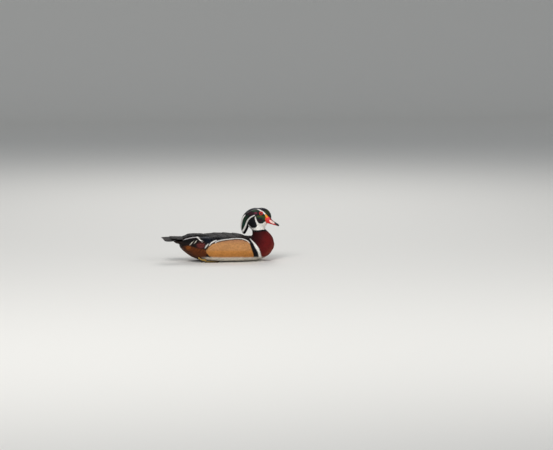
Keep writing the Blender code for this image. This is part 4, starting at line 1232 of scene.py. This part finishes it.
def onTail(share, across):
    # a place on the tail's upper face; across is -1 to 1 from edge to edge
    wide, high, droop = (np.interp(share, [s[0] for s in tailPlan["stations"]],
                                   [s[i] for s in tailPlan["stations"]]) for i in (1, 2, 3))
    x = bodyPlan["tailEnd"] + bodyPlan["length"] * (1 - share)
    return Vector((x, across * wide, high - droop * across * across))


def tailFeather(across, start, end, half, lift, rows, squeeze=.75):
    places = []
    for row in range(rows):
        done = row / (rows - 1)
        share = start + (end - start) * done
        side = across * (squeeze + (1 - squeeze) * done)
        here = onTail(share, side)
        normal = (onTail(share + .01, side) - here).cross(Vector((0, 1, -.5 * side))).normalized()
        places.append((here + Vector((0, 0, lift)), normal if normal.z > 0 else -normal))
    return feather(places, half, -.0004, .0004, 1 if across > 0 else -1)


def tailColour(group):
    count = len(group["shareList"])
    base = repeated(linear(tailPlan["tone"]), count)
    base = laid(base, np.array(linear(tailPlan["tipTone"])), smoothStep(group["shareList"], .55, 1) * .6)
    return base, np.zeros(count), np.full(count, .5)


rectrices, covertPlans = [], []
for item in range(tailPlan["feathers"]):
    across = -.9 + 1.8 * item / (tailPlan["feathers"] - 1)
    rectrices.append(tailFeather(across, tailPlan["start"], 1.0 - .022 * across ** 2, tailPlan["half"],
                                 -.0006 - .0022 * abs(across), tailPlan["rows"]))
for start, end, count, reach in tailPlan["coverts"]:
    for item in range(count):
        across = reach * (-1 + 2 * item / (count - 1))
        covertPlans.append(tailFeather(across, start, end - .012 * across ** 2, tailPlan["covertHalf"],
                                       .0012 - .0012 * abs(across), 10, .85))
tailGroups = [spread(rectrices, 7, wideTip, camber=.08), spread(covertPlans, 7, roundTip, camber=.14)]
makeCoat("tail_plumage", tailGroups, flightFeather, tailColour, replaced=["tail"],
         wide=True, even=.2)

rumpCoat = {"spacing": .0048, "length": .026, "half": .0052, "low": -.0012, "high": .0010, "tries": 9000,
            "behind": -.105, "below": .064}


def rumpZone(point):
    return point.x < rumpCoat["behind"] and point.z < rumpCoat["below"]


rumpPlans = []
for point in scatter(hullForm, rumpZone, lambda point: rumpCoat["spacing"], rumpCoat["tries"], 9):
    place, normal = nearestOn(hull, point)
    long = rumpCoat["length"] * draw.uniform(.8, 1.1) * (1 - .5 * float(smoothStep(-place.x, .13, .17)))
    rumpPlans.append(walk(hull, place, Vector((-1, 0, .15)), long, 9, rumpCoat["half"], rumpCoat["low"],
                          rumpCoat["high"]))
makeCoat("rump_plumage", [spread(rumpPlans, 5, narrowTip, hull)], contourFeather, fromPhoto(),
         even=.4)

print("side plumes")
plumePlan = {"half": .0019, "rows": 14, "rounds": 4, "low": .0002, "high": .0018,
             # root and tip of each plume in the photograph's pixels
             "drooping": [((199, 238.6), (189.6, 246.4)), ((200, 239.2), (191.6, 247)),
                          ((201, 239.8), (194.2, 246.2)), ((202, 240.6), (196.6, 247.4)),
                          ((203, 241.8), (199, 248))],
             "lying": [((209, 243.6), (196, 243.4)), ((209.5, 244.6), (196, 245.2)),
                       ((209.8, 245.6), (197, 246.8)), ((209.8, 246.8), (198.5, 248.2)),
                       ((209.5, 248), (200, 249.4)), ((208, 243), (197.5, 241.6))]}


def plume(start, end, side, bow, half, low, high):
    # a feather between two pixels of the photograph, bowed upwards there
    places = []
    for row in range(plumePlan["rows"]):
        done = row / (plumePlan["rows"] - 1)
        x = start[0] + (end[0] - start[0]) * done
        y = start[1] + (end[1] - start[1]) * done - bow * math.sin(math.pi * done)
        places.append(onHull(*hullPlace((x, y)), side))
    for _ in range(plumePlan["rounds"]):
        between = [((a[0] + b[0] * 2 + c[0]) / 4, (a[1] + b[1] * 2 + c[1]).normalized())
                   for a, b, c in zip(places, places[1:], places[2:])]
        places = [places[0], *between, places[-1]]
    return feather(places, half * draw.uniform(.88, 1.12), low, high * draw.uniform(.8, 1.2), side)


for side, hand in sides.items():
    sizes = [plumePlan[key] for key in ("half", "low", "high")]
    plans = [plume(start, end, hand, .5, *sizes) for start, end in plumePlan["lying"]]
    plans += [plume(start, end, hand, .9, *sizes) for start, end in plumePlan["drooping"]]
    makeCoat("side_plumes_" + side + "_plumage", [spread(plans, 7, narrowTip)], contourFeather, fromPhoto(),
             replaced=["side_plumes_" + side], even=.3)

print("flank feathers")
flankPlan = {"count": 26, "half": .0060, "low": -.0016, "high": .0012,
             "border": [(205.6, 248.6), (207.2, 245.6), (209.6, 243.2), (213, 241), (217.5, 239.7),
                        (223, 239.2),
                        (231, 238.6), (238, 238.2), (243, 238.8), (247, 240.2)]}


def borderPoint(done):
    edge = np.array(flankPlan["border"])
    reach = np.concatenate(([0], np.cumsum(np.hypot(*np.diff(edge, axis=0).T))))
    return [float(np.interp(done * reach[-1], reach, edge[:, i])) for i in (0, 1)]


for side, hand in sides.items():
    plans = []
    for item in range(flankPlan["count"]):
        x, y = borderPoint(item / (flankPlan["count"] - 1))
        for back in (0, 1):
            tip = (x + back * 1.2, y + back * 1.6 + draw.uniform(-.1, .1))
            root = (min(tip[0] + 7.5, 253), tip[1] + 2.2 + .35 * max(0, 213 - x))
            plans.append(plume(root, tip, hand, -.4, flankPlan["half"], flankPlan["low"],
                               flankPlan["high"] - back * .0006))
    makeCoat("flank_plumage_" + side, [spread(plans, 9, roundTip)], contourFeather, fromPhoto(),
             even=.35)

bpy.data.objects.remove(hullForm)

skin.data.materials.append(contourFeather)
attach(skin, "root")
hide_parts("head", "neck", "torso")
bpy.data.objects.remove(bodyForm)

print("camera, light and floor")
target = screenRight * ((photoView["width"] / 2 - photoView["origin"][0]) * photoView["pixel"])
target = target + screenUp * ((photoView["origin"][1] - photoView["height"] / 2) * photoView["pixel"])
camera = placed("camera", bpy.data.cameras.new("camera"))
camera.location = target + toCamera * photoView["cameraAway"]
camera.rotation_euler = toCamera.to_track_quat("Z", "Y").to_euler()
camera.data.sensor_width = photoView["sensor"]
camera.data.lens = photoView["sensor"] * photoView["cameraAway"] / (photoView["width"] * photoView["pixel"])
camera.data.clip_end = 60
scene.camera = camera

studio = {"floor": "#e4e1db", "reach": 6.0, "rise": 4.0, "bend": 1.2}
bm = bmesh.new()
line = [bm.verts.new((-studio["reach"] * 2, -studio["reach"], 0)),
        bm.verts.new((-studio["reach"] * 2, studio["reach"], 0))]
for step in range(1, 13):
    turn = math.pi / 2 * step / 12
    line.append(bm.verts.new((-studio["reach"] * 2, studio["reach"] + math.sin(turn) * studio["bend"],
                              studio["bend"] * (1 - math.cos(turn)))))
line.append(bm.verts.new((-studio["reach"] * 2, studio["reach"] + studio["bend"], studio["rise"])))
edges = [bm.edges.new(pair) for pair in zip(line, line[1:])]
bmesh.ops.translate(bm, verts=extruded(bm, edges), vec=(studio["reach"] * 4, 0, 0))
bmesh.ops.recalc_face_normals(bm, faces=bm.faces)
floor = objectFrom(bm, "floor")
paper, _, _ = newMaterial("background paper, matt", Roughness=.9, Specular_IOR_Level=.2,
                          Base_Color=(*linear(studio["floor"]), 1))
floor.data.materials.append(paper)

lamps = {"key": ((-1.2, -2.2, 2.6), 1.6, 62), "fill": ((1.8, -2.0, 1.2), 2.2, 20),
         "rim": ((.4, 2.2, 2.4), 1.6, 34)}
for name, (place, size, power) in lamps.items():
    light = bpy.data.lights.new(name, "AREA")
    light.size, light.energy = size, power
    lamp = placed(name, light)
    lamp.location = place
    lamp.rotation_euler = (Vector((0, 0, .06)) - Vector(place)).to_track_quat("-Z", "Y").to_euler()
world = bpy.data.worlds.new("soft daylight")
world.use_nodes = True
world.node_tree.nodes["Background"].inputs["Color"].default_value = (*linear("#dfe6ee"), 1)
world.node_tree.nodes["Background"].inputs["Strength"].default_value = .42
scene.world = world
scene.view_settings.view_transform = "Standard"
